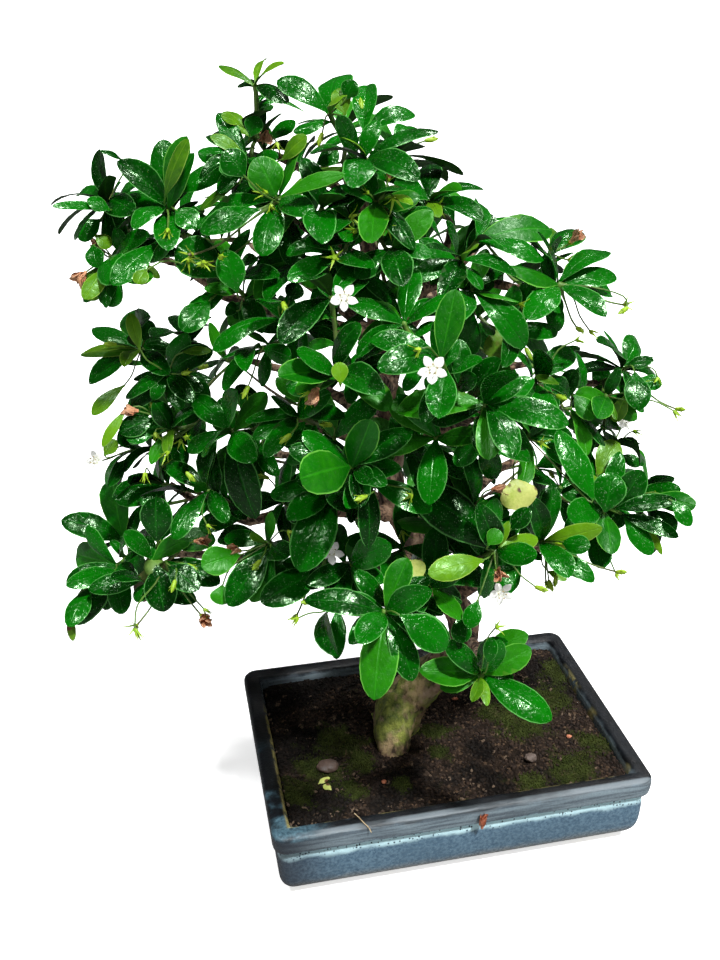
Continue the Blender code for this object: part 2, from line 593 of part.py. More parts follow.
def shoot_start(rows, first, tip_taken):
    """Where on a limb a shoot to this place starts: the spur's root, its heading and its length."""
    points = [Vector(r[:3]) for r in rows]
    nearest = min(range(len(points)), key=lambda i: (points[i] - first).length)
    if nearest >= len(points) - 3 and not tip_taken:
        heading = (points[-1] - points[-2]).normalized()
        return points[-1], heading, None
    nearest = min(nearest, len(points) - 6)
    back = 0.45 * (points[nearest] - first).length
    while nearest > 2 and back > 0:
        back -= (points[nearest] - points[nearest - 1]).length
        nearest -= 1
    root, radius = points[nearest], rows[nearest][3]
    along = (points[nearest + 1] - points[nearest - 1]).normalized()
    heading = (first - root).normalized()
    side = heading - along * heading.dot(along)
    slant = 0.75 * max(-1.0, min(1.0, heading.dot(along)))
    rise = math.sqrt(1 - slant**2)
    heading = (side.normalized() * rise + along * slant).normalized()
    return root, heading, (radius + 1.0 * MM + TWIG_ROOT_RADIUS * abs(slant)) / rise


class Tuft:
    """The knob at a twig's end, and the twig, leaves and stalks that are raised from its faces."""

    def __init__(self, centre, axis, count):
        self.centre, self.axis = centre, axis
        ball = bmesh.new()
        if count > SMALL_KNOB_HOLDS:
            bmesh.ops.create_icosphere(ball, subdivisions=1, radius=KNOB_RADIUS)
        else:
            for x, y, z in ((1, 0, 0), (-1, 0, 0), (0, 1, 0), (0, -1, 0), (0, 0, 1), (0, 0, -1)):
                ball.verts.new(Vector((x, y, z)) * SMALL_KNOB_RADIUS)
            bmesh.ops.convex_hull(ball, input=ball.verts)
            bmesh.ops.recalc_face_normals(ball, faces=ball.faces)
            ball.normal_update()
        ball.faces.ensure_lookup_table()
        turn = ball.faces[0].normal.rotation_difference(-axis)
        self.corners = [centre + turn @ v.co for v in ball.verts]
        self.faces = [tuple(v.index for v in f.verts) for f in ball.faces]
        self.normals = [turn @ f.normal for f in ball.faces]
        ball.free()
        self.raised = {}

    def face_towards(self, heading):
        """The free face of the knob that looks most nearly that way."""
        free = [i for i in range(1, len(self.faces)) if i not in self.raised]
        return max(free, key=lambda i: self.normals[i].dot(heading))

    def face_middle(self, index):
        return sum((self.corners[i] for i in self.faces[index]), Vector()) / 3

    def raise_stem(self, index, rows, facing=None):
        """Raises a three-sided stem from a face along rows of x, y, z, radius. Its end is cut
        square, or to face a given way."""
        middle = self.face_middle(index)
        spokes = [self.corners[i] - middle for i in self.faces[index]]
        ahead, last = self.normals[index], middle
        rings = []
        for row in rows:
            step = Vector(row[:3]) - last
            turn = ahead.rotation_difference(step)
            spokes = [turn @ s for s in spokes]
            ahead, last = step.normalized(), Vector(row[:3])
            rings.append([last + s.normalized() * row[3] for s in spokes])
        if facing:
            turn = ahead.rotation_difference(facing)
            rings[-1] = [last + (turn @ s).normalized() * rows[-1][3] for s in spokes]
        self.raised[index] = rings


def grow():
    """The whole plan of the tree: the wood's lines, its spurs, and each shoot's tufts and blooms."""
    draw = random.Random(5)
    thicket = Thicket()
    wood = {"trunk": trunk_line(2)}
    wood.update({name: limb_line(stations, 1) for name, stations in LIMBS.items()})
    for rows in wood.values():
        thicket.add_stem("wood", None, rows)
    spurs, shoots, tips_taken = [], [], set()
    for name, limb, tufts in SHOOTS:
        grown = grow_twigs(thicket, limb, wood[limb], tips_taken, spurs, name, tufts)
        shoots.append({"name": name, "tufts": grown, "blades": [], "blooms": []})
    for shoot, (name, _, tufts) in zip(shoots, SHOOTS):
        for index, (_, _, _, blooms) in enumerate(tufts):
            for kind, seen in blooms:
                grow_bloom(thicket, draw, shoot, index, kind, seen)
    for shoot, (name, _, tufts) in zip(shoots, SHOOTS):
        for index, (_, tips, _, _) in enumerate(tufts):
            for kind, seen in tips:
                grow_seen_leaf(thicket, draw, shoot, index, kind, seen)
    for shoot, (name, _, tufts) in zip(shoots, SHOOTS):
        for index, (_, tips, fill, _) in enumerate(tufts):
            for turn in range(fill):
                grow_free_leaf(thicket, draw, shoot, index, turn, not tips)
    return wood, spurs, shoots


def grow_twigs(thicket, limb, limb_rows, tips_taken, spurs, name, tufts):
    """A shoot's twigs, the first from a spur or a limb's tip and the others from the first."""
    places = [seen_at(*entry[0]) for entry in tufts]
    limb_rows = dense(limb_rows)
    root, heading, spur = shoot_start(limb_rows, places[0], limb in tips_taken)
    thick = TWIG_ROOT_RADIUS
    if spur is None:
        tips_taken.add(limb)
        thick = min(TWIG_ROOT_RADIUS, limb_rows[-1][3])
        spur = 0
    else:
        spurs.append((root, heading, spur))
    start = root + heading * (spur + TWIG_GAP)
    grown, main = [], None
    for index, place in enumerate(places):
        if index:
            at = fork_row(main, place, index)
            start = Vector(main[at][:3])
            heading = Vector(main[at + 1][:3] - main[at - 1][:3]).normalized()
            heading = (heading * 0.6 + (place - start).normalized()).normalized()
            thick = TWIG_TIP_RADIUS
        axis = (outward(place) * 0.7 + UP * 0.45 + (place - start).normalized() * 0.5).normalized()
        _, tips, fill, blooms = tufts[index]
        knob = Tuft(place, axis, len(tips) + fill + len(blooms))
        rows = clear_twig(thicket, name, start, heading, knob.face_middle(0), axis, thick)
        if index:
            rows[0][3] = FORK_ROOT_RADIUS
        else:
            main = dense(rows)
        knob.raise_stem(0, rows[-2::-1], None if index else -heading)
        knob.line = rows
        grown.append(knob)
    for index, knob in enumerate(grown):
        thicket.add_stem(name, index, knob.line, bare_end=1)
    return grown


def fork_row(main, target, index):
    """Which row of the main twig a side twig to the target leaves from."""
    gaps = [np.linalg.norm(row[:3] - np.array(target)) for row in main]
    nearest = min(range(len(main)), key=gaps.__getitem__)
    return min(max(2 * index, int(nearest * 0.6)), len(main) - 3)


def clear_twig(thicket, name, start, heading, end, axis, thick):
    """A twig that bends clear of the other stems."""
    best, best_gap = None, -1.0
    swing = heading.cross(end - start)
    swing = swing.normalized() if swing.length > 1e-9 else heading.orthogonal().normalized()
    for push in (0, 0.35, -0.35, 0.7, -0.7, 1.1, -1.1):
        for lean in (axis, (axis + UP * 0.5).normalized(), (axis - UP * 0.4).normalized()):
            leave = (heading + swing * push * 0.5).normalized()
            arrive = (lean + swing * push * 0.6).normalized()
            line = twig_rows(start, leave, end, arrive, thick, TWIG_TIP_RADIUS)
            gap = thicket.stem_distance([r[:3] for r in dense(line)[4:]], name) - TWIG_ROOT_RADIUS
            if gap > TWIG_CLEAR:
                return line
            if gap > best_gap:
                best, best_gap = line, gap
    return best


def face_of(axis, kind, tilt):
    """The way a leaf's upper face looks."""
    if kind == FLAT:
        return UP + axis * 0.2 + tilt
    return axis * 0.7 + UP * 0.55 - SIGHT * 0.45 + tilt


def try_leaf(thicket, shoot, index, face_index, tip, face, share, kind):
    """Raises a leaf from that face of the knob if there is room for it."""
    knob = shoot["tufts"][index]
    foot = knob.face_middle(face_index)
    blade = Blade(foot, tip, face, (tip - foot).length * share, kind)
    if not LEAST_LEAF < blade.length < 52 * MM:
        return False
    if not thicket.fits(shoot["name"], index, blade.hull(LEAF_CLEAR), blade.hull(0.1 * MM)):
        return False
    knob.raised[face_index] = blade.rings()
    if crosses_itself(knob):
        knob.raised.pop(face_index)
        thicket.solids.pop()
        return False
    shoot["blades"].append(blade)
    return True


def crosses_itself(knob):
    """Whether anything raised from the knob cuts through anything else there."""
    mesh = tuft_mesh(knob)
    mesh.faces.ensure_lookup_table()
    corners = [set(face.verts) for face in mesh.faces]
    tree = BVHTree.FromBMesh(mesh)
    crossed = any(a < b and not corners[a] & corners[b] for a, b in tree.overlap(tree))
    mesh.free()
    return crossed


def grow_seen_leaf(thicket, draw, shoot, index, kind, seen):
    """The leaf whose tip is seen at a given point. It leans nearer or further until it is clear."""
    knob = shoot["tufts"][index]
    length = LEAF_LENGTH[kind] * draw.uniform(0.86, 1.14)
    share = LEAF_SHARE[kind] * draw.uniform(0.88, 1.14)
    tip = tip_on_sight_line(knob.centre, *seen, length, knob.axis)
    lean = (tip - EYE).normalized()
    tilts = [Vector([draw.uniform(-0.35, 0.35) for _ in range(3)]) for _ in range(4)]
    for push in (0, 5, -5, 10, -10, 15, -15, 20):
        for tilt in tilts:
            for scale in (1.0, 0.86):
                end = knob.centre + (tip + lean * push * MM - knob.centre) * scale
                face_index = knob.face_towards((end - knob.centre).normalized())
                if try_leaf(thicket, shoot, index, face_index, end, face_of(knob.axis, kind, tilt), share, kind):
                    return


def grow_free_leaf(thicket, draw, shoot, index, turn, open_tuft):
    """A leaf on a tuft's hidden side, or in a tuft at the back, set by the turn of the twig."""
    knob = shoot["tufts"][index]
    kind = MATURE if draw.random() < 0.75 else BRIGHT
    length = LEAF_LENGTH[kind] * draw.uniform(0.8, 1.1)
    share = LEAF_SHARE[kind] * draw.uniform(0.88, 1.12)
    side = knob.axis.cross(UP)
    side = side.normalized() if side.length > 1e-6 else RIGHT
    up_side = side.cross(knob.axis)
    first = draw.uniform(0, 2 * math.pi)
    for attempt in range(14):
        angle = first + GOLDEN_TURN * turn + attempt * 0.45
        spread = side * math.cos(angle) + up_side * math.sin(angle)
        lift = draw.uniform(0.1, 0.65)
        tilt = Vector([draw.uniform(-0.3, 0.3) for _ in range(3)])
        if not open_tuft and spread.dot(SIGHT) < -0.1:
            continue
        heading = (spread + knob.axis * lift - UP * 0.1).normalized()
        tip = knob.centre + heading * length * (1 - 0.02 * attempt)
        face = knob.axis * 0.8 + UP * 0.5 + tilt
        if try_leaf(thicket, shoot, index, knob.face_towards(heading), tip, face, share, kind):
            return


def grow_bloom(thicket, draw, shoot, index, kind, seen):
    """A flower, a spent flower or a bud on its stalk, seen at a given point."""
    knob = shoot["tufts"][index]
    goal = tip_on_sight_line(knob.centre, *seen, FLOWER_STALK[kind] * draw.uniform(0.9, 1.15), knob.axis)
    for push in (0, -4, 4, -8, 8, -12):
        end = goal + (goal - EYE).normalized() * push * MM
        face_index = knob.face_towards((end - knob.centre).normalized())
        foot = knob.face_middle(face_index)
        arrival = ((end - foot).normalized() + UP * 0.5 - SIGHT * 0.7).normalized()
        points = bend(foot, knob.normals[face_index], end, arrival, 3)
        rows = np.array([(*p, FLOWER_STALK_RADIUS) for p in points])
        if thicket.stem_distance([r[:3] for r in dense(rows)[3:]], shoot["name"]) < TWIG_CLEAR:
            continue
        if kind == BUD:
            swell = np.array([(*(end + arrival * d * MM), r * MM) for d, r in ((1.2, 1.5), (3.2, 0.35))])
            stalk = np.vstack([rows[1:], swell])
        else:
            hull = bloom_hull(end, arrival, kind)
            if not thicket.fits(shoot["name"] + "_bloom", index, hull, hull):
                continue
            cup = np.array([(*(end + arrival * 1.2 * MM), CALYX_RADIUS)])
            stalk = np.vstack([rows[1:], cup])
            shoot["blooms"].append((kind, end + arrival * (1.2 * MM + TOUCH_GAP), arrival))
        knob.raise_stem(face_index, stalk)
        if crosses_itself(knob):
            knob.raised.pop(face_index)
            if kind != BUD:
                thicket.solids.pop()
                shoot["blooms"].pop()
            continue
        thicket.add_stem(shoot["name"], index, rows)
        return


def bloom_hull(end, arrival, kind):
    """The room that a flower takes, as a cup that widens away from its stalk."""
    low, high = end + arrival * 1.0 * MM, end + arrival * (PETAL_RISE[kind] + 3.6 * MM)
    return stem_hull(np.array([(*low, 2.0 * MM), (*low.lerp(high, 0.3), PETAL_REACH[kind]),
                               (*high, PETAL_REACH[kind])]), LEAF_CLEAR)


def ring(half_x, half_y, corner, z, per_corner):
    """The points of a rectangle with round corners, anticlockwise from above."""
    points = []
    for quarter, (sx, sy) in enumerate(((1, 1), (-1, 1), (-1, -1), (1, -1))):
        for i in range(per_corner + 1):
            angle = math.pi / 2 * (quarter + i / per_corner)
            points.append(Vector((sx * (half_x - corner) + corner * math.cos(angle),
                                  sy * (half_y - corner) + corner * math.sin(angle), z)))
    return points


def loft(rings, closed_ends=True):
    """A mesh through rings of equally many points, with its two ends filled."""
    mesh = bmesh.new()
    loops = [[mesh.verts.new(p) for p in points] for points in rings]
    for low, high in zip(loops, loops[1:]):
        for i in range(len(low)):
            j = (i + 1) % len(low)
            mesh.faces.new((low[i], low[j], high[j], high[i]))
    if closed_ends:
        mesh.faces.new(list(reversed(loops[0])))
        mesh.faces.new(loops[-1])
    bmesh.ops.recalc_face_normals(mesh, faces=mesh.faces)
    return mesh


def tube(rows, sides, twist=0.0, pointed=False):
    """A round stem along rows of x, y, z, radius, with flat ends or a pointed tip."""
    points = [Vector(r[:3]) for r in rows]
    heading = (points[1] - points[0]).normalized()
    across = heading.orthogonal().normalized()
    mesh = bmesh.new()
    loops = []
    for i, row in enumerate(rows):
        ahead = points[min(i + 1, len(points) - 1)] - points[max(i - 1, 0)]
        across = (across - ahead.normalized() * across.dot(ahead.normalized())).normalized()
        other = ahead.normalized().cross(across)
        if pointed and i == len(rows) - 1:
            loops.append([mesh.verts.new(points[i])])
            continue
        loops.append([mesh.verts.new(points[i] + (across * math.cos(twist + 2 * math.pi * k / sides)
                                                  + other * math.sin(twist + 2 * math.pi * k / sides)) * row[3])
                      for k in range(sides)])
    for low, high in zip(loops, loops[1:]):
        for k in range(sides):
            j = (k + 1) % sides
            if len(high) == 1:
                mesh.faces.new((low[k], low[j], high[0]))
            else:
                mesh.faces.new((low[k], low[j], high[j], high[k]))
    mesh.faces.new(list(reversed(loops[0])))
    if len(loops[-1]) > 1:
        mesh.faces.new(loops[-1])
    bmesh.ops.recalc_face_normals(mesh, faces=mesh.faces)
    return mesh


def tuft_mesh(knob):
    """The knob with everything that is raised from its faces, as one closed mesh."""
    mesh = bmesh.new()
    corners = [mesh.verts.new(p) for p in knob.corners]
    for index, face in enumerate(knob.faces):
        loop = [corners[i] for i in face]
        for ring_points in knob.raised.get(index, []):
            loop = raise_ring(mesh, loop, ring_points)
        if len(loop) == 3:
            mesh.faces.new(loop)
    bmesh.ops.triangulate(mesh, faces=mesh.faces)
    bmesh.ops.recalc_face_normals(mesh, faces=mesh.faces)
    return mesh


def raise_ring(mesh, loop, points):
    """Joins a three-cornered loop to the next ring, or to the edge that a leaf ends in."""
    if len(points) == 2:
        left, ridge, right = loop
        a, b = (mesh.verts.new(p) for p in points)
        for corners in ((left, ridge, a), (ridge, b, a), (ridge, right, b), (right, left, a, b)):
            mesh.faces.new(corners)
        return [a, b]
    turns = [points[k:] + points[:k] for k in range(3)]
    near = min(range(3), key=lambda k: sum((v.co - p).length for v, p in zip(loop, turns[k])))
    fresh = [mesh.verts.new(p) for p in turns[near]]
    for i, j in ((0, 1), (1, 2), (2, 0)):
        mesh.faces.new((loop[i], loop[j], fresh[j], fresh[i]))
    return fresh[3 - near:] + fresh[:3 - near]


def material(name, colour, roughness):
    made = bpy.data.materials.new(name)
    made.use_nodes = True
    shader = made.node_tree.nodes["Principled BSDF"]
    shader.inputs["Base Color"].default_value = (*colour, 1)
    shader.inputs["Roughness"].default_value = roughness
    shader.inputs["Metallic"].default_value = 0.0
    return made


def add_object(name, mesh, finish=None, collection=None):
    """An object from a bmesh, which is freed."""
    data = bpy.data.meshes.new(name)
    mesh.to_mesh(data)
    mesh.free()
    made = bpy.data.objects.new(name, data)
    (collection or bpy.context.scene.collection).objects.link(made)
    if finish:
        data.materials.append(finish)
    return made


def united(name, meshes, finish):
    """One solid made of several that overlap, joined by a Boolean union."""
    body = add_object(name, meshes[0], finish)
    if len(meshes) == 1:
        return body
    others = bpy.data.collections.new(name + "_joined")
    bpy.context.scene.collection.children.link(others)
    for i, mesh in enumerate(meshes[1:]):
        add_object(f"{name}_joined_{i}", mesh, None, others)
    join = body.modifiers.new("join", "BOOLEAN")
    join.operation = "UNION"
    join.operand_type = "COLLECTION"
    join.collection = others
    join.solver = "MANIFOLD"
    graph = bpy.context.evaluated_depsgraph_get()
    joined = bpy.data.meshes.new_from_object(body.evaluated_get(graph))
    body.modifiers.clear()
    body.data = joined
    for other in list(others.objects):
        bpy.data.objects.remove(other)
    bpy.data.collections.remove(others)
    return body


def pot_ring(inset, z, per_corner=3):
    corner = max(POT_CORNER - inset * 0.4, 4.5 * MM)
    return ring(POT_LENGTH / 2 - inset, POT_WIDTH / 2 - inset, corner, z, per_corner)


def build_pot(finish):
    """The glazed pot: a bellied body, a groove, a banded rim, two drain holes and four low feet."""
    shell = loft([pot_ring(inset * MM, z * MM) for inset, z in POT_PROFILE])
    feet = []
    for sx in (-1, 1):
        for sy in (-1, 1):
            x = sx * (POT_LENGTH / 2 - POT_FOOT_INSET - POT_FOOT_SIZE[0] / 2)
            y = sy * (POT_WIDTH / 2 - POT_FOOT_INSET - POT_FOOT_SIZE[1] / 2)
            foot = loft([ring(POT_FOOT_SIZE[0] / 2 - taper, POT_FOOT_SIZE[1] / 2 - taper, 4 * MM, z, 2)
                         for taper, z in ((1.2 * MM, 0.0), (0.0, FOOT_HEIGHT + 0.8 * MM))])
            bmesh.ops.translate(foot, verts=foot.verts, vec=(x, y, 0))
            feet.append(foot)
    pot = united("pot", [shell, *feet], finish)
    for sx in (-1, 1):
        plug = bmesh.new()
        bmesh.ops.create_cone(plug, cap_ends=True, segments=16, radius1=DRAIN_RADIUS, radius2=DRAIN_RADIUS,
                              depth=20 * MM, matrix=Matrix.Translation((sx * DRAIN_ACROSS, 0, 7 * MM)))
        cutter = add_object("drain_cutter", plug)
        cut = pot.modifiers.new("drain", "BOOLEAN")
        cut.operation = "DIFFERENCE"
        cut.solver = "EXACT"
        cut.object = cutter
        graph = bpy.context.evaluated_depsgraph_get()
        drilled = bpy.data.meshes.new_from_object(pot.evaluated_get(graph))
        pot.modifiers.clear()
        pot.data = drilled
        bpy.data.objects.remove(cutter)
    return pot


def soil_height(x, y):
    """The soil's uneven surface, a little higher round the trunk."""
    waves = (math.sin(x / (13 * MM) + 1.3) * math.cos(y / (9 * MM)) + 0.6 * math.sin(y / (17 * MM) + x / (23 * MM)))
    near = math.exp(-((x - TRUNK_PLACE.x) ** 2 + (y - TRUNK_PLACE.y) ** 2) / (38 * MM) ** 2)
    return SOIL_TOP + SOIL_ROUGHNESS * 0.55 * waves * (1 - near) + 0.6 * MM * near


def even_ring(inset, z, count):
    """The inside of the pot as a ring of equally spaced points."""
    outline = pot_ring(inset, z, 6)
    lengths = [0.0]
    for a, b in zip(outline, outline[1:] + outline[:1]):
        lengths.append(lengths[-1] + (b - a).length)
    points = []
    for i in range(count):
        goal = lengths[-1] * i / count
        k = max(j for j in range(len(outline)) if lengths[j] <= goal)
        share = (goal - lengths[k]) / (lengths[k + 1] - lengths[k])
        points.append(outline[k].lerp(outline[(k + 1) % len(outline)], share))
    return points


def soil_rings(count, rings):
    """Rings of the soil from its underside up the sides, in over the top and down the trunk's hole."""
    gap = TOUCH_GAP / MM + 0.25
    sides = [(17.0 + gap, 9.0 + gap), (14.0 + gap, 12.5 + gap * 0.5), (11.72 + gap, 43.0)]
    made = [even_ring(inset * MM, z * MM, count) for inset, z in sides]
    edge = even_ring((11.72 + gap + 0.4) * MM, SOIL_TOP, count)
    centre = Vector((TRUNK_PLACE.x, TRUNK_PLACE.y, 0))
    first = math.atan2(edge[0].y - centre.y, edge[0].x - centre.x)
    for k in range(rings + 1):
        circle = []
        for i, p in enumerate(edge):
            angle = first + 2 * math.pi * i / count
            hole = centre + Vector((math.cos(angle), math.sin(angle), 0)) * TRUNK_HOLE_RADIUS
            spot = Vector((p.x, p.y, 0)).lerp(hole, k / rings)
            circle.append(Vector((spot.x, spot.y, soil_height(spot.x, spot.y))))
        made.append(circle)
    made.append([Vector((p.x, p.y, TRUNK_HOLE_FLOOR)) for p in made[-1]])
    return made


def build_soil(finish):
    """The soil that fills the pot, with a plain round hole for the trunk."""
    return add_object("soil", loft(soil_rings(SOIL_COLUMNS, SOIL_RINGS)), finish)


def build_wood(wood, spurs, finish):
    """The trunk, its limbs and the spurs that the leafy shoots stand on, in one solid."""
    meshes = [tube(wood["trunk"], 8)]
    meshes += [tube(rows, 5) for name, rows in wood.items() if name != "trunk"]
    for root, heading, length in spurs:
        ends = np.array([(*root, TWIG_ROOT_RADIUS * 1.1), (*(root + heading * length), TWIG_ROOT_RADIUS)])
        meshes.append(tube(ends, 5))
    return united("wood", meshes, finish)


def build_shoot(shoot, finish):
    """A leafy shoot: its twigs, leaves, flower stalks and buds in one solid."""
    return united("shoot_" + shoot["name"], [tuft_mesh(knob) for knob in shoot["tufts"]], finish)


def build_corolla(name, kind, base, heading, finish):
    """A flower's five petals on a short tube, as one thin cup."""
    side = heading.orthogonal().normalized()
    other = heading.cross(side)
    reach, rise = PETAL_REACH[kind], PETAL_RISE[kind]

    def at(angle, radius, height):
        return base + (side * math.cos(angle) + other * math.sin(angle)) * radius + heading * height

    mesh = bmesh.new()
    step = 2 * math.pi / PETALS
    foot = [mesh.verts.new(at(k * step, 1.2 * MM, 0)) for k in range(PETALS)]
    rims = []
    for height in (0.0, PETAL_THICKNESS):
        rim = []
        for k in range(PETALS):
            rim.append(mesh.verts.new(at(k * step, 2.1 * MM, 1.3 * MM + height)))
            rim.append(mesh.verts.new(at(k * step + step * 0.27, reach, rise + height)))
            rim.append(mesh.verts.new(at(k * step + step * 0.73, reach, rise + height)))
        rims.append(rim)
    middle = mesh.verts.new(at(0, 0, 1.2 * MM))
    mesh.faces.new(list(reversed(foot)))
    count = 3 * PETALS
    for k in range(PETALS):
        i, j = 3 * k, (3 * k + 3) % count
        mesh.faces.new((foot[k], foot[(k + 1) % PETALS], rims[0][i + 2], rims[0][i + 1]))
        mesh.faces.new((foot[k], rims[0][i + 1], rims[0][i]))
        mesh.faces.new((foot[(k + 1) % PETALS], rims[0][j], rims[0][i + 2]))
    for i in range(count):
        j = (i + 1) % count
        mesh.faces.new((rims[0][i], rims[0][j], rims[1][j], rims[1][i]))
        mesh.faces.new((rims[1][i], rims[1][j], middle))
    bmesh.ops.triangulate(mesh, faces=mesh.faces)
    bmesh.ops.recalc_face_normals(mesh, faces=mesh.faces)
    return add_object(name, mesh, finish)


def build_stone(name, seen, size, finish):
    """A rounded stone that rests on the soil on a small flat spot."""
    ray = SIGHT * SIGHT_FOCAL + RIGHT * (seen[0] - PICTURE_MIDDLE[0]) + DOWN * (seen[1] - PICTURE_MIDDLE[1])
    spot = EYE + ray * ((SOIL_TOP + size[2] * 0.6 - EYE.z) / ray.z)
    mesh = bmesh.new()
    bmesh.ops.create_icosphere(mesh, subdivisions=2, radius=0.5)
    for v in mesh.verts:
        v.co.z = max(v.co.z, -0.38)
        v.co = Vector((v.co.x * size[0], v.co.y * size[1], (v.co.z + 0.38) * size[2] / 0.88))
    bmesh.ops.dissolve_limit(mesh, angle_limit=math.radians(1), verts=mesh.verts, edges=mesh.edges)
    bmesh.ops.triangulate(mesh, faces=mesh.faces)
    under = [(spot.x + v.co.x, spot.y + v.co.y) for v in mesh.verts if v.co.z < size[2] * 0.3]
    rest = max(soil_height(x, y) for x, y in under) + TOUCH_GAP
    bmesh.ops.translate(mesh, verts=mesh.verts, vec=(spot.x, spot.y, rest))
    return add_object(name, mesh, finish)


def centre_on_origin():
    """Moves everything level, so that the middle of the plant's whole reach is over the origin."""
    points = np.array([tuple(v.co) for o in bpy.data.objects for v in o.data.vertices])
    middle = (points.min(0) + points.max(0)) / 2
    for o in bpy.data.objects:
        o.data.transform(Matrix.Translation((-middle[0], -middle[1], 0)))


def main():
    for o in list(bpy.data.objects):
        bpy.data.objects.remove(o)
    glaze = material("blue glaze", (0.10, 0.17, 0.24), 0.22)
    earth = material("soil", (0.045, 0.032, 0.022), 0.95)
    bark = material("bark", (0.22, 0.16, 0.10), 0.85)
    leaf = material("leaf", (0.015, 0.13, 0.02), 0.28)
    petals = {OPEN: material("white petal", (0.80, 0.80, 0.76), 0.6),
              SPENT: material("spent petal", (0.30, 0.13, 0.04), 0.8)}
    stone = material("stone", (0.16, 0.10, 0.06), 0.7)
    wood, spurs, shoots = grow()
    build_pot(glaze)
    build_soil(earth)
    build_wood(wood, spurs, bark)
    for shoot in shoots:
        build_shoot(shoot, leaf)
    count = {OPEN: 0, SPENT: 0}
    for shoot in shoots:
        for kind, base, heading in shoot["blooms"]:
            count[kind] += 1
            build_corolla(f"flower_{kind}_{count[kind]}", kind, base, heading, petals[kind])
    for name, seen, size in STONES:
        build_stone(name, seen, size, stone)
    centre_on_origin()


main()
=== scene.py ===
"""The finished look of a Fukien tea bonsai in a blue-glazed rectangular pot.

Each leaf, twig, stalk, bud and flower is read from the frame's own solids and made again there
in its fine form. Smaller leaves fill the twigs below the tufts, the wood is grown together under
one bark, and the pot, the soil, its moss and what has dropped on it are made finer.
Metres, Z up. In this script the middle of the pot's foot is at the origin, and each piece is
moved over the frame's own pot when it is finished.
"""

import itertools
import math
import random

import bmesh
import bpy
import numpy as np
from mathutils import Matrix, Vector, noise
from mathutils.bvhtree import BVHTree


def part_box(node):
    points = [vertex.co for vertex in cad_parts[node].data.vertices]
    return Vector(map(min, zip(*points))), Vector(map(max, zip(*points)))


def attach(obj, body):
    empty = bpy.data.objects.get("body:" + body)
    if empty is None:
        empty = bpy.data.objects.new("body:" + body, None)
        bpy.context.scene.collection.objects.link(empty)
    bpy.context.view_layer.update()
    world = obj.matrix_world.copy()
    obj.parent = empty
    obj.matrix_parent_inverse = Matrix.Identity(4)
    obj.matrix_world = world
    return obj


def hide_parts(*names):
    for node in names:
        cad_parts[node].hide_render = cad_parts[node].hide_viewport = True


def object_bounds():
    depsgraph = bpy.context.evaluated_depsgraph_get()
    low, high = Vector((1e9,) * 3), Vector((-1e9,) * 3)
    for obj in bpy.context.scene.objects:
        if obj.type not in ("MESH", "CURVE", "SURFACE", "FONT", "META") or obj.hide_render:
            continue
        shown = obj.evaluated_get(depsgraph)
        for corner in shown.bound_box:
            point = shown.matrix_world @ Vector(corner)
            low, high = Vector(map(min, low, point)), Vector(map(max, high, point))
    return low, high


# The frame's solids, where its pot is, and the box that the whole must stay in
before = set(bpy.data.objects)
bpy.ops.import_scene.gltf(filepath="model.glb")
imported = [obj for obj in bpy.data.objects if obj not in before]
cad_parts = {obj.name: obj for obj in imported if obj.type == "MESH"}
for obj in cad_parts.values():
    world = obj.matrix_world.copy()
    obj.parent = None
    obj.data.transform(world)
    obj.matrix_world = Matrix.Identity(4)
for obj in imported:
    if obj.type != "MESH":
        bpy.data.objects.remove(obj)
CAD_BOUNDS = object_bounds()
POT_LOW, POT_HIGH = (Vector(corner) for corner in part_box("pot"))
POT_MIDDLE = Vector(((POT_LOW.x + POT_HIGH.x) / 2, (POT_LOW.y + POT_HIGH.y) / 2, 0))
BOX = np.array([tuple(Vector(corner) - POT_MIDDLE) for corner in CAD_BOUNDS])

# All chance is drawn from here, one draw after another, so that each run gives the same tree
draw = random.Random(11)

MM = 0.001
TOUCH_GAP = 0.3 * MM
UP = Vector((0, 0, 1))

# The pot
POT_LENGTH = 226 * MM
POT_WIDTH = 155 * MM
POT_HEIGHT = 52 * MM
POT_CORNER = 8 * MM
FOOT_HEIGHT = 4 * MM
# outside, from the underside up to the rim, then down the inside: inset from the rim's edge, height
POT_PROFILE = (
    (14.0, 4.0), (8.5, 6.3), (4.8, 11.0), (3.3, 17.0), (3.0, 30.5), (3.7, 35.1), (4.8, 37.2), (1.6, 39.5),
    (0.3, 41.3), (0.0, 49.3), (1.0, 51.4), (2.8, 52.0), (8.4, 52.0), (10.3, 50.8), (11.5, 46.0),
    (14.0, 12.5), (17.0, 9.0),
)
POT_FOOT_SIZE = (30 * MM, 20 * MM)
POT_FOOT_INSET = 17 * MM
# how a foot narrows: how far in from its sides, and the height
POT_FOOT_LEVELS = ((1.9 * MM, 0.0), (1.3 * MM, 0.25 * MM), (1.0 * MM, 0.9 * MM),
                   (0.1 * MM, FOOT_HEIGHT + 0.8 * MM))
POT_FOOT_CORNER = 4 * MM
DRAIN_RADIUS = 7 * MM
DRAIN_ACROSS = 52 * MM
# the middle and the length of the drill that makes the drain holes
DRILL_LEVEL = 7 * MM
DRILL_LENGTH = 20 * MM
# where the pot's colours change: from which height to which, and how far those borders wander
CLAY_LEVELS = (18 * MM, 5 * MM)
POOL_LOW = (31.0 * MM, 34.5 * MM)
POOL_HIGH = (41.2 * MM, 38.4 * MM)
BAND_LEVELS = (39.5 * MM, 41.8 * MM)
RIM_LEVELS = (48.5 * MM, 51.2 * MM)
GLAZE_RUNS = 6 * MM
# how far in from the rim's edge the inside of the wall begins to be crusted
WALL_INSET = 9.5 * MM
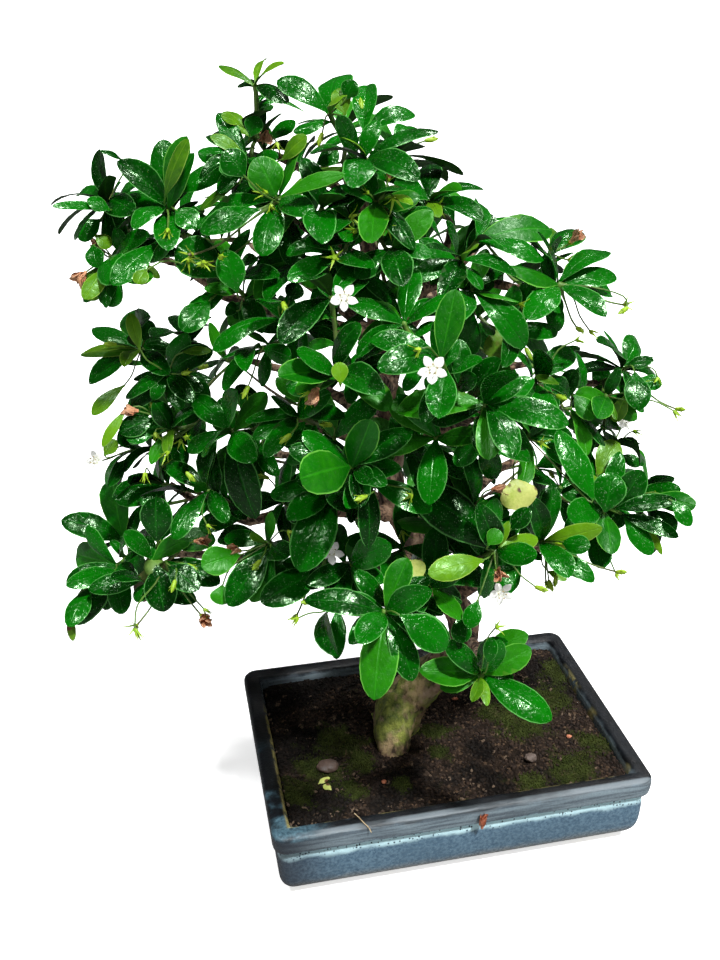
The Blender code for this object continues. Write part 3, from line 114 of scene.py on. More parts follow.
# across the pot, from and to: where its left end is darkened with painted shade, and where rim
# and wall are worn or crusted; the same towards the front
SHADED_LEFT_END = (45 * MM - POT_LENGTH / 2, 1 * MM - POT_LENGTH / 2)
WORN_ACROSS = (-75 * MM, -100 * MM)
CRUST_ACROSS = (-70 * MM, -98 * MM)
WORN_TO_FRONT = (10 * MM, -30 * MM)
CRUST_TO_FRONT = (45 * MM, 20 * MM)
# the front edge of the rim, where a pale streaky highlight is painted: from and to
HIGHLIGHT_STRIP = (5.0 * MM - POT_WIDTH / 2, 3.2 * MM - POT_WIDTH / 2)
# heights between which the rim turns dull, and the foot
DULL_RIM = (48.5 * MM, 50.5 * MM)
DULL_FOOT = (16 * MM, 5 * MM)

# The soil and the trunk's place in it
SOIL_TOP = 45 * MM
SOIL_ROUGHNESS = 1.6 * MM
# the low mound round the trunk, the crumbs' lumps and the cushions of moss
MOUND_REACH, MOUND_HEIGHT = 38 * MM, 0.6 * MM
LUMP_HEIGHT = 0.75 * MM
MOSS_HEIGHT = 1.3 * MM
# nothing is strewn under this height, where the soil meets the pot's wall
STREWN_ABOVE = SOIL_TOP - 2.2 * MM
# how far the soil runs in under the trunk
SOIL_UNDER_TRUNK = 5 * MM
# where, across from the pot's middle, the soil grows darker to the left
DARKER_SOIL_ACROSS = (-10 * MM, -80 * MM)
TRUNK_PLACE = Vector((-23 * MM, 8 * MM, 0))
TRUNK_HOLE_RADIUS = 14 * MM

# The way of looking that the photograph has: from where, its middle, how far a unit reaches, its
# turn and its dip
EYE = Vector((-150 * MM, -479 * MM, 475 * MM))
PICTURE_SIZE = (720, 960)
PICTURE_MIDDLE = (360.0, 478.0)
SIGHT_FOCAL = 1010.0
SIGHT_TURN = math.radians(12.0)
SIGHT_DIP = math.radians(26.7)
RIGHT = Vector((math.cos(SIGHT_TURN), -math.sin(SIGHT_TURN), 0))
SIGHT = Vector((math.sin(SIGHT_TURN) * math.cos(SIGHT_DIP), math.cos(SIGHT_TURN) * math.cos(SIGHT_DIP),
                -math.sin(SIGHT_DIP)))
DOWN = SIGHT.cross(RIGHT)

# How the solids of the leaves, knobs, stalks and flowers were made: by these one knows them again
MATURE, BRIGHT, YOUNG, FLAT = "mature", "bright", "young", "flat"
LEAF_ARCH = {MATURE: 0.09, BRIGHT: 0.05, YOUNG: 0.08, FLAT: 0.13}
LEAF_WIDEST = 0.73
LEAF_DROOP = 0.08
KNOB_DEPTH = 1.51 * MM
SMALL_KNOB_DEPTH = 0.92 * MM
KNOB_FACE_EDGE = 2.13 * MM
STEM_SPREAD = math.sqrt(3)
BUD_TIP_EDGE = 0.35 * MM * STEM_SPREAD
BUD_LENGTH = 3.2 * MM
COROLLA_DEPTH = 1.2 * MM
PETALS = 5

# Fine leaves and petals: where their sections are from foot to tip, and their columns across
LEAF_ROWS = (0.0, 0.09, 0.21, 0.35, 0.50, 0.65, 0.79, 0.90, 0.97)
PETAL_ROWS = (0.0, 0.2, 0.42, 0.64, 0.82, 0.94)
SHORT_ROWS = (0.0, 0.25, 0.5, 0.75, 0.92)
LEAF_COLUMNS = (-1.0, -0.5, 0.0, 0.5, 1.0)
# how much a leaf's sides curl down, its stalk's radius, its thickness and its middle rib's groove
LEAF_CURL = 0.16
LEAF_STALK = 0.55 * MM
LEAF_THICKNESS = 0.32 * MM
RIB_GROOVE = 0.28 * MM
# how many waves an edge has from foot to tip, and how far one edge is ahead of the other
RIPPLES = 1.3
RIPPLE_SHIFT = 1.9
# how far the foot of a leaf reaches into its knob, in mm
LEAF_ROOT = 1.2
# the corners of a leaf's first rows, which are on its twig
LEAF_FREE_FROM = 12
# the mark of a corner where no finish asks for one
PLAIN_MARK = (0.0, 0.0, 0.5)

# How many smaller leaves there may be along a twig below its tuft, in front and at the back, how
# often a place is tried for one, how low they may hang, and how likely one is bright
LOWER_LEAVES = 6
LOWER_LEAVES_BEHIND = 3
LEAF_TRIES = 8
LOWEST_LEAF = POT_HEIGHT + 14 * MM
BRIGHT_CHANCE = 0.14
# how far in front of its twig a single leaf is tried, in mm, and how much it leans from the eye
LEAF_RISES = (3, 9, -3, 15, 21, -9)
LEAF_LEANS = (0, -0.4, 0.4)
# among how many of the nearest places on twigs a leaf, or a single leaf's stalk, may start
TWIG_TRIES = 160
STALK_TRIES = 24

# Twigs: how far from its knob a twig is green, how thin a stalk is, and where leaves leave it
GREEN_REACH = 36 * MM
THIN_STALK = 0.85 * MM
TUFT_DEPTH = 3.5 * MM
TWIG_REACH = 34 * MM
STALK_RADIUS = 0.42 * MM
CUP_GAP = 0.6 * MM

# Sprays of open green stars and of closed buds: where their ends show in the view
STARS = (
    (188, 259), (203, 262), (267, 193), (277, 143), (350, 217), (356, 231), (368, 193), (394, 197),
    (168, 229), (576, 340), (590, 331), (520, 304), (568, 260), (658, 378), (674, 411), (634, 431),
    (420, 349), (307, 397), (155, 433), (181, 440), (168, 452), (145, 473), (163, 466), (288, 531),
    (207, 525), (204, 609), (135, 629), (298, 618), (412, 495), (616, 574), (496, 627), (660, 500),
    (271, 205), (310, 392), (402, 531),
)
BUDS = (
    (220, 258), (298, 270), (283, 303), (322, 134), (627, 308), (290, 435), (331, 425), (248, 387),
    (268, 478), (305, 515), (260, 561), (175, 581), (187, 473), (536, 587), (556, 577), (207, 366),
    (366, 496), (549, 581),
)
SPRAY_RISE = 25 * MM
SPRAY_CHANCE = 0.3

# Single leaves that the view shows and the solids leave out: foot, tip, width in mm, and the kind
# of those that aren't mature
YELLOWED, OLIVE = "yellowed", "olive"
SINGLE_LEAVES = (
    (513, 478, 522, 510, 19, YELLOWED), (494, 328, 499, 360, 14, OLIVE), (408, 560, 421, 578, 11, YELLOWED),
    (70, 616, 73, 641, 5, OLIVE), (484, 560, 428, 574, 12, YOUNG), (458, 616, 463, 643, 10),
    (488, 664, 492, 638, 7), (316, 165, 338, 150, 11), (238, 312, 226, 306, 8), (510, 530, 530, 508, 9),
    (478, 600, 468, 628, 9), (140, 350, 130, 313, 7, YOUNG), (143, 352, 80, 355, 6, YOUNG),
    (280, 197, 345, 174, 7, BRIGHT), (345, 115, 338, 88, 9, YOUNG), (100, 285, 88, 300, 8, YOUNG),
    (488, 545, 500, 530, 8, BRIGHT), (400, 615, 447, 648, 15), (92, 245, 98, 268, 9),
    (128, 548, 144, 574, 10), (104, 456, 117, 440, 9, YOUNG), (289, 302, 298, 283, 9),
    (346, 99, 354, 80, 10), (612, 531, 624, 512, 8), (341, 384, 339, 362, 7, YOUNG),
    (597, 475, 617, 441, 14, YOUNG), (276, 197, 257, 157, 17, BRIGHT), (282, 160, 307, 136, 9, YOUNG),
    (125, 385, 92, 415, 8, YOUNG), (127, 409, 102, 447, 6, YOUNG), (154, 419, 119, 432, 12),
    (172, 430, 154, 401, 11), (152, 436, 126, 438, 8), (125, 460, 107, 486, 11),
    (240, 555, 201, 566, 15, BRIGHT), (270, 549, 228, 606, 17), (222, 585, 222, 605, 12, BRIGHT),
    (276, 561, 251, 602, 12, BRIGHT), (320, 570, 261, 603, 18), (90, 587, 69, 627, 13),
    (116, 570, 66, 586, 12), (157, 565, 164, 612, 18), (146, 583, 136, 602, 8), (169, 565, 199, 590, 14),
    (170, 487, 114, 500, 15), (157, 542, 156, 497, 17), (175, 192, 222, 169, 12),
    (168, 210, 194, 153, 10, BRIGHT), (165, 197, 188, 139, 9, YOUNG), (240, 182, 200, 210, 6, YOUNG),
    (176, 210, 197, 227, 12), (222, 277, 177, 245, 20), (260, 209, 200, 232, 12), (110, 210, 52, 206, 5),
    (101, 219, 79, 240, 12), (95, 235, 111, 247, 8, YOUNG), (109, 266, 84, 299, 9, YOUNG),
    (121, 280, 109, 307, 9), (146, 269, 137, 284, 8, YOUNG), (157, 244, 112, 285, 13),
    (114, 206, 122, 252, 10), (110, 210, 87, 199, 8), (122, 160, 100, 151, 4), (210, 300, 182, 331, 13),
    (240, 292, 204, 289, 8, BRIGHT), (237, 292, 225, 250, 13), (122, 341, 92, 330, 14),
    (144, 342, 150, 320, 9), (182, 352, 211, 351, 5, YOUNG), (244, 155, 210, 136, 7, YOUNG),
    (245, 177, 225, 150, 13), (241, 125, 221, 115, 5, YOUNG), (250, 137, 257, 116, 9),
    (594, 500, 557, 430, 14), (605, 512, 612, 472, 18), (617, 510, 642, 470, 15), (630, 500, 681, 489, 13),
    (650, 497, 696, 506, 12, BRIGHT), (614, 509, 677, 500, 9), (672, 500, 691, 526, 9),
    (655, 510, 674, 534, 12), (620, 514, 679, 537, 9), (624, 515, 652, 555, 11),
    (646, 525, 662, 555, 4, YOUNG), (595, 531, 602, 569, 13), (562, 542, 590, 547, 11),
    (562, 554, 594, 582, 9), (574, 395, 595, 419, 11, BRIGHT), (626, 395, 614, 422, 8, YOUNG),
    (635, 372, 639, 410, 14), (640, 378, 662, 385, 10), (559, 384, 535, 377, 5, YOUNG),
    (626, 366, 654, 360, 7), (622, 455, 640, 466, 8), (547, 571, 567, 580, 5, YOUNG),
    (594, 502, 559, 485, 12),
)
# other places where the view shows leaves, and places where one sees through between them
LEAFY_SPOTS = (
    (263, 374), (304, 129), (413, 380), (326, 344), (239, 315), (118, 549), (482, 596), (337, 635),
    (154, 346), (286, 145), (489, 587), (337, 648), (283, 384), (427, 330), (92, 257), (252, 337),
    (210, 579), (451, 350), (112, 447), (284, 130), (602, 350), (199, 429), (103, 613), (361, 583),
    (66, 595), (355, 288), (502, 514), (138, 399), (296, 108),
)
OPEN_GAPS = (
    (546, 340), (538, 330), (556, 350), (562, 338), (530, 318), (360, 530), (380, 525), (125, 290),
    (125, 305), (524, 570), (620, 430), (635, 450), (396, 536), (410, 548), (496, 253), (441, 168),
    (227, 127), (163, 325), (163, 300), (150, 295), (175, 305), (442, 227), (282, 487), (294, 495),
    (331, 557), (229, 379), (349, 627), (311, 623), (408, 143), (390, 120), (100, 179), (640, 440),
    (588, 312), (594, 255), (545, 360), (235, 99), (226, 107), (241, 108), (214, 125), (246, 92),
    (137, 301), (137, 316), (112, 330), (404, 152), (396, 140), (474, 204), (161, 276), (210, 319),
    (90, 546), (275, 407), (279, 464), (526, 564),
)
# Withered flowers that the solids leave out
WITHERED_SPOTS = ((267, 131), (195, 541), (138, 411), (86, 272), (492, 489), (318, 388))

# Wood: how fine its bark is, from which height down it is mossy, and the roots that spread from
# the foot of the trunk: the way they run, in degrees, and their length
BARK_GRAIN = 1.15 * MM
BARK_MOSS_HEIGHTS = (118 * MM, 78 * MM)
ROOTS = ((-20, 20 * MM), (62, 20 * MM), (128, 25 * MM), (196, 17 * MM), (232, 19 * MM))
# from which radius to which bark changes from flaky to furrowed
THIN_LIMB, THICK_LIMB = 4 * MM, 7 * MM
# between which radii the bark's lumps follow the wood, and under which radius it is filled out
WOOD_RADII = (1.5 * MM, 12 * MM)
FILLED_UNDER = 4.2 * MM
# along a root: the share of its length, the height over the soil and the radius in mm
ROOT_ROWS = ((0.16, 12, 6.4), (0.38, 3.5, 6.0), (0.60, -1.2, 4.6), (0.84, -3.4, 3.0), (1.0, -5.0, 1.4))
# the foot's broad bulge towards the front: how far out, how high over the soil, and radius in mm
FRONT_FOOT = ((2, 30, 10), (7, 21, 12), (12, 11, 12.5), (17, 4, 11), (22, -1, 8.5), (27, -6, 4.5))
FRONT_FOOT_HEADING = -112

# Soil and moss
SOIL_FINE_COLUMNS = 168
SOIL_FINE_RINGS = 46
# the soil's underside and its way up along the wall: inset from the rim's edge and height in mm
SOIL_WALL = ((17.0, 9.6), (14.0, 13.0), (11.8, 43.0))
SOIL_EDGE = 11.55
# how much of the room of its solid a stone fills
STONE_SHARE = 0.995
CRUMB_SIZE = 1.2 * MM
SPRIG_SIZE = 0.42 * MM
# what is strewn: the node that makes one, and its measures as shares of that size
CRUMB = ("GeometryNodeMeshIcoSphere", {"Radius": 1.0, "Subdivisions": 1})
SPRIG = ("GeometryNodeMeshCone", {"Vertices": 4, "Radius Bottom": 0.8, "Radius Top": 0.0, "Depth": 4.6})
# what a scatter takes, and of which sort each is
SCATTER_TAKES = {"Ground": "Geometry", "Density": "Float", "Size": "Float", "Moss from": "Float",
                 "Moss to": "Float", "Tilt": "Float", "Seed": "Int", "Finish": "Material"}
# patches of moss: across, down in the view, and radius
MOSS = (
    (338, 746, 18 * MM), (320, 772, 15 * MM), (362, 764, 13 * MM), (300, 792, 12 * MM), (350, 790, 11 * MM),
    (432, 733, 9 * MM), (437, 752, 7 * MM), (520, 722, 20 * MM), (548, 700, 18 * MM), (492, 712, 12 * MM),
    (566, 768, 17 * MM), (590, 745, 11 * MM), (535, 782, 10 * MM), (560, 670, 14 * MM), (405, 785, 6 * MM),
)

# What has dropped: orange bits, with how long, wide and high they are, and leaf bits on the soil,
# and a straw over the rim
ORANGE_BITS = ((288, 678), (384, 783), (569, 737), (455, 700))
CHIP_LENGTHS, CHIP_WIDTHS, CHIP_HEIGHT = (3.4, 5.0), (2.2, 3.0), 1.8 * MM
# across, down, the way it points, and length
LEAF_BITS = ((324, 783, 0.4, 8 * MM), (328, 789, 2.3, 7 * MM))
# where the straw crosses the rim, and its places from there in mm
STRAW_SPOT = (363, 824)
STRAW = ((-3.0, 9.0, -0.2), (-1.5, 5.0, 0.55), (0.5, 0.5, 0.5), (2.5, -3.5, 0.2), (3.4, -6.0, -1.0))
STRAW_RADIUS = 0.28 * MM
# the flower that hangs on the pot's front
DROPPED_SPOT = (482, 818)

# Lamps far off: name, the way the light comes from in degrees, its height, and its strength
LAMPS = (("front_right_lamp", 24, 60, 4.1), ("front_left_lamp", -58, 64, 1.1), ("back_lamp", 128, 60, 1.4))
LAMP_SPREAD = math.radians(5)
STUDIO_GLOW = 0.22
STUDIO_SHEEN = 0.05
# how pale the floor is to the eye, and in the light that it gives back to the tree
FLOOR_SEEN = 0.95
FLOOR_GIVES = 0.38
FLOOR_GLOW = 0.66
# the camera's film in mm, and how far the floor reaches each way in metres
FILM_SIZE = 36
FLOOR_REACH = 40


def in_view(across, down):
    """The way one looks at that point of the view."""
    return SIGHT * SIGHT_FOCAL + RIGHT * (across - PICTURE_MIDDLE[0]) + DOWN * (down - PICTURE_MIDDLE[1])


def seen_at(across, down, level, axis=2):
    """Where that point of the view lies on a level plane, or on a plane across another axis."""
    ray = in_view(across, down)
    return EYE + ray * ((level - EYE[axis]) / ray[axis])


def smooth_line(places, steps):
    """Places along a smooth curve through the given ones. Each may hold more than three numbers."""
    rows = [np.array(p, float) for p in places]
    rows = [2 * rows[0] - rows[1], *rows, 2 * rows[-1] - rows[-2]]
    line = []
    for a, b, c, d in zip(rows, rows[1:], rows[2:], rows[3:]):
        for t in np.arange(steps) / steps:
            line.append(0.5 * (2 * b + (c - a) * t + (2 * a - 5 * b + 4 * c - d) * t**2
                               + (3 * b - a - 3 * c + d) * t**3))
    return np.array([*line, rows[-2]])


def bend(start, heading, end, arrival, count):
    """Places along a curve that leaves start on one heading and arrives at end on another."""
    reach = (end - start).length * 0.38
    a, b = start + heading * reach, end - arrival * reach
    return [start * (1 - t) ** 3 + a * 3 * t * (1 - t) ** 2 + b * 3 * t**2 * (1 - t) + end * t**3
            for t in (i / count for i in range(count + 1))]


def outward(heading, angle):
    """A way out from the middle of what looks along heading."""
    side = heading.orthogonal().normalized()
    return side * math.cos(angle) + heading.cross(side) * math.sin(angle)


def ring(half_x, half_y, corner, z, per_corner):
    """The points of a rectangle with round corners, anticlockwise from above."""
    points = []
    for quarter, (sx, sy) in enumerate(((1, 1), (-1, 1), (-1, -1), (1, -1))):
        for i in range(per_corner + 1):
            angle = math.pi / 2 * (quarter + i / per_corner)
            points.append(Vector((sx * (half_x - corner) + corner * math.cos(angle),
                                  sy * (half_y - corner) + corner * math.sin(angle), z)))
    return points


def pot_ring(inset, z, per_corner):
    """The pot's outline so far in from the rim's edge, at a height."""
    corner = max(POT_CORNER - inset * 0.4, 4.5 * MM)
    return ring(POT_LENGTH / 2 - inset, POT_WIDTH / 2 - inset, corner, z, per_corner)


def even_ring(inset, z, count):
    """The inside of the pot as a ring of equally spaced points."""
    outline = pot_ring(inset, z, 6)
    lengths = [0.0]
    for a, b in zip(outline, outline[1:] + outline[:1]):
        lengths.append(lengths[-1] + (b - a).length)
    points = []
    for i in range(count):
        goal = lengths[-1] * i / count
        k = max(j for j in range(len(outline)) if lengths[j] <= goal)
        share = (goal - lengths[k]) / (lengths[k + 1] - lengths[k])
        points.append(outline[k].lerp(outline[(k + 1) % len(outline)], share))
    return points


def ring_faces(rings, count):
    """The faces between rings of equally many points, and the two that close the ends."""
    faces = []
    for low, i in itertools.product(range(0, (rings - 1) * count, count), range(count)):
        j = (i + 1) % count
        faces.append((low + i, low + j, low + count + j, low + count + i))
    return [*faces, tuple(reversed(range(count))), tuple(range((rings - 1) * count, rings * count))]


def faces_of(mesh):
    """The faces of a mesh, or of one under construction, by the numbers of their corners."""
    if isinstance(mesh, bmesh.types.BMesh):
        return [tuple(corner.index for corner in face.verts) for face in mesh.faces]
    return [tuple(face.vertices) for face in mesh.polygons]


def rough_ball(subdivisions, radius):
    """A ball of triangles, still to be made uneven."""
    ball = bmesh.new()
    bmesh.ops.create_icosphere(ball, subdivisions=subdivisions, radius=radius)
    return ball


def build_up(mesh, corners, faces):
    """Adds a form to a mesh under construction."""
    made = [mesh.verts.new(p) for p in corners]
    for face in faces:
        mesh.faces.new([made[i] for i in face])


def merged(node):
    """A copy of a node's mesh with its corners joined, over the pot's own origin."""
    mesh = bmesh.new()
    mesh.from_mesh(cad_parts[node].data)
    bmesh.ops.remove_doubles(mesh, verts=mesh.verts, dist=0.005 * MM)
    bmesh.ops.translate(mesh, verts=mesh.verts, vec=-POT_MIDDLE)
    mesh.verts.index_update()
    return mesh


def in_order(corners):
    """Corners in the order of their numbers, so that each run adds them up alike."""
    return sorted(corners, key=lambda corner: corner.index)


def middle_of(corners):
    return sum((corner.co for corner in in_order(corners)), Vector()) / len(corners)


def beside(corners):
    """The corners next to these ones."""
    return {edge.other_vert(corner) for corner in corners for edge in corner.link_edges} - set(corners)


def placed(name, data):
    """A new object in the scene."""
    made = bpy.data.objects.new(name, data)
    bpy.context.scene.collection.objects.link(made)
    return made


def plain(made):
    """A plain mesh of what an object's modifiers make of it."""
    return bpy.data.meshes.new_from_object(made.evaluated_get(bpy.context.evaluated_depsgraph_get()))


def shaped(mesh, kind, **settings):
    """A plain mesh of what one of Blender's modifiers makes of a form."""
    data = bpy.data.meshes.new("form")
    mesh.to_mesh(data)
    mesh.free()
    holder = placed("form", data)
    modifier = holder.modifiers.new("form", kind)
    for key, value in settings.items():
        setattr(modifier, key, value)
    made = plain(holder)
    bpy.data.objects.remove(holder)
    return made


def settle(made, slot, *nodes):
    """Gives a finished piece its place in the frame."""
    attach(made, "root")
    if nodes:
        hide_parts(*nodes)
    return made


class Leaf:
    """A leaf as its solid shows it: a three-cornered root on its knob, two rings, and the edge
    that it ends in."""

    def __init__(self, root, inner, outer, tips):
        pairs = itertools.combinations(in_order(outer), 2)
        left, right = max(pairs, key=lambda pair: (pair[0].co - pair[1].co).length)
        ridge = (outer - {left, right}).pop()
        middle = (left.co + right.co) / 2
        self.corners = inner | outer | tips
        self.root = in_order(root)
        self.width = (left.co - right.co).length
        self.face = (ridge.co - middle).normalized()
        self.foot = middle_of(root)
        tip = middle_of(tips) + self.face * LEAF_DROOP * 0.36 * self.width
        self.length = (tip - self.foot).length
        self.along = (tip - self.foot).normalized()
        rise = (middle - self.foot).dot(self.face) + LEAF_DROOP * self.width
        arch = rise / (4 * LEAF_WIDEST * (1 - LEAF_WIDEST) * self.length)
        self.kind = min(LEAF_ARCH, key=lambda kind: abs(LEAF_ARCH[kind] - arch))
        self.real = abs(LEAF_ARCH[self.kind] - arch) < 0.003

    def knob_middle(self):
        """The middle of the knob that the leaf stands on."""
        a, b, c = (corner.co for corner in self.root)
        out = (b - a).cross(c - a).normalized()
        out = out if out.dot(self.along) > 0 else -out
        large = ((b - a).length + (c - b).length + (a - c).length) / 3 < KNOB_FACE_EDGE
        return self.foot - out * (KNOB_DEPTH if large else SMALL_KNOB_DEPTH)


class Knob:
    """The place at a twig's end that a tuft of leaves opens from."""

    def __init__(self, middle):
        self.middle, self.leaves = middle, []

    def axis(self):
        """The way its leaves point on the whole."""
        total = sum((leaf.along for leaf in self.leaves), Vector())
        return total.normalized() if total.length > 0.1 else UP


def read_leaves(mesh):
    """The leaves of a shoot's solid."""
    leaves = []
    for edge in mesh.edges:
        tips = set(edge.verts)
        outer = beside(tips)
        inner = beside(outer) - tips if len(outer) == 3 else set()
        root = beside(inner) - outer if len(inner) == 3 else set()
        if len(root) == 3:
            leaves.append(Leaf(root, inner, outer, tips))
    return [leaf for leaf in leaves if leaf.real]


def read_knobs(leaves):
    """The knobs that these leaves stand on, each with its own leaves."""
    knobs = []
    for leaf in leaves:
        middle = leaf.knob_middle()
        knob = next((k for k in knobs if (k.middle - middle).length < 0.2 * MM), None)
        if knob is None:
            knob = Knob(middle)
            knobs.append(knob)
        knob.leaves.append(leaf)
    return knobs


def read_flower(node):
    """Where a flower stands on its cup, and the way it looks."""
    mesh = merged(node)
    throat = max(mesh.verts, key=lambda corner: len(corner.link_edges)).co
    heading = (middle_of(mesh.verts) - throat).normalized()
    base = throat - heading * COROLLA_DEPTH
    mesh.free()
    return base, heading


class Shape:
    """Corners and faces gathered for one piece. Each corner has a mark of three numbers that the
    finishes read: across and along what it is on, and the tone of that leaf or twig."""

    def __init__(self):
        self.corners, self.marks, self.faces, self.finishes = [], [], [], []

    def add(self, corners, faces, finish, marks=None):
        """Adds a form. Its finish is one material, or one for each face."""
        first = len(self.corners)
        self.corners.extend(corners)
        self.marks.extend(marks or [PLAIN_MARK] * len(corners))
        self.faces.extend(tuple(first + i for i in face) for face in faces)
        self.finishes.extend(finish if isinstance(finish, list) else [finish] * len(faces))

    def piece(self, name, slot, *nodes, sharp=60):
        """The finished piece, which stands for those nodes of the frame."""
        data = bpy.data.meshes.new(name)
        data.from_pydata(self.corners, [], self.faces)
        kinds = list({finish.name: finish for finish in self.finishes}.values())
        places = {kind.name: i for i, kind in enumerate(kinds)}
        for kind in kinds:
            data.materials.append(kind)
        data.polygons.foreach_set("material_index", [places[f.name] for f in self.finishes])
        mark = data.attributes.new("mark", "FLOAT_VECTOR", "POINT")
        mark.data.foreach_set("vector", np.array(self.marks, np.float32).ravel())
        data.transform(Matrix.Translation(POT_MIDDLE))
        data.shade_smooth()
        data.set_sharp_from_angle(angle=math.radians(sharp))
        return settle(placed(name, data), slot, *nodes)


def round_stem(rows, sides):
    """Corners and faces of a round stem along rows of x, y, z, radius."""
    points = [Vector(row[:3]) for row in rows]
    last = len(points) - 1
    across = (points[1] - points[0]).orthogonal().normalized()
    corners = []
    for i, row in enumerate(rows):
        ahead = (points[min(i + 1, last)] - points[max(i - 1, 0)]).normalized()
        across = (across - ahead * across.dot(ahead)).normalized()
        other = ahead.cross(across)
        for angle in (2 * math.pi * k / sides for k in range(sides)):
            corners.append(points[i] + (across * math.cos(angle) + other * math.sin(angle)) * row[3])
    return corners, ring_faces(len(rows), sides)


def add_stem(shape, rows, sides, tone, finish):
    """A stem whose marks say how far round and along it a corner is, and its tone."""
    corners, faces = round_stem(rows, sides)
    last = len(rows) - 1
    marks = [(k / sides, i / last, tone) for i in range(last + 1) for k in range(sides)]
    shape.add(corners, faces, finish, marks)


def rows_along(base, heading, *steps):
    """The rows of a straight stem: how far along it and how thick, in mm."""
    return [(*(base + heading * far * MM), radius * MM) for far, radius in steps]


def leaf_outline(widest):
    """A rule for the share of its greatest width that a leaf has so far from foot to tip."""

    def share(t):
        if t < widest:
            return math.sin(t / widest * math.pi / 2) ** 1.05
        return max(0.0, 1 - ((t - widest) / (1 - widest)) ** 2.1) ** 0.6

    return share


def petal_outline(t):
    """The same for a petal, which is widest past its middle and ends in a blunt point."""
    return math.sin(math.pi * min(1.0, 0.10 + 0.90 * t) ** 1.25) ** 0.85 if t < 1 else 0.0


def sepal_outline(t):
    """The same for the narrow green lobes under a flower."""
    return (1 - t) ** 0.8


class Sheet:
    """A thin, closed, leaf-like form: a leaf, a petal or a sepal."""

    rows, outline = LEAF_ROWS, staticmethod(leaf_outline(0.6))
    arch, curl, thickness = 0.08, LEAF_CURL, LEAF_THICKNESS
    groove = stalk = twist = ripple = start = fold = 0.0

    def __init__(self, foot, along, face, length, width, **form):
        self.foot, self.along, self.length, self.width = foot, along, length, width
        self.face = (face - along * face.dot(along)).normalized()
        self.side = along.cross(self.face)
        vars(self).update(form)

    def place(self, t, half, u, lift):
        """A place so far from foot to tip and from the middle to the edge."""
        turn = self.twist * t
        side = self.side * math.cos(turn) + self.face * math.sin(turn)
        phase = 2 * math.pi * RIPPLES * t + self.start + (RIPPLE_SHIFT if u > 0 else 0)
        wave = self.ripple * half * u * u * math.sin(phase)
        rise = 4 * self.arch * t * (1 - t) * self.length - self.curl * half * u * u + wave
        rise += self.fold * half * abs(u)
        return self.foot + self.along * (t * self.length) + side * (u * half) + self.face * (rise + lift)

    def add_to(self, shape, tone, upper, lower):
        """Adds the form to a shape, with a finish for its upper side and one for its lower. Most
        leaves that are turned away are glossy on both sides, so that the gloss is seen all the same."""
        lower = upper if self.face.dot(SIGHT) > 0.1 and tone < 0.9 else lower
        corners, marks = [], []
        for t in self.rows:
            half = max(self.outline(t) * self.width / 2, self.stalk)
            for u in LEAF_COLUMNS:
                sunk = self.groove * min(1.0, t * 5) if u == 0 else 0.0
                corners.append(self.place(t, half, u, -sunk))
                marks.append((u, t, tone))
            thick = max(self.thickness, self.stalk * 1.7 * (1 - t / 0.2))
            corners.append(self.place(t, half, 0.0, -thick - self.groove))
            marks.append((0.0, t, tone))
        corners.append(self.place(1.0, 0.0001, 0.0, -self.thickness * 0.4))
        marks.append((0.0, 1.0, tone))
        loops = ((((0, 1), (1, 2), (2, 3), (3, 4)), upper), (((4, 5), (5, 0)), lower))
        faces, finishes = [(5, 4, 3, 2, 1, 0)], [lower]
        step, tip = 6, len(corners) - 1
        for near in range(0, tip, step):
            far = near + step
            for pairs, side in loops:
                for a, b in pairs:
                    faces.append((near + a, near + b, *((far + b, far + a) if far < tip else (tip,))))
                    finishes.append(side)
        shape.add(corners, faces, finishes, marks)


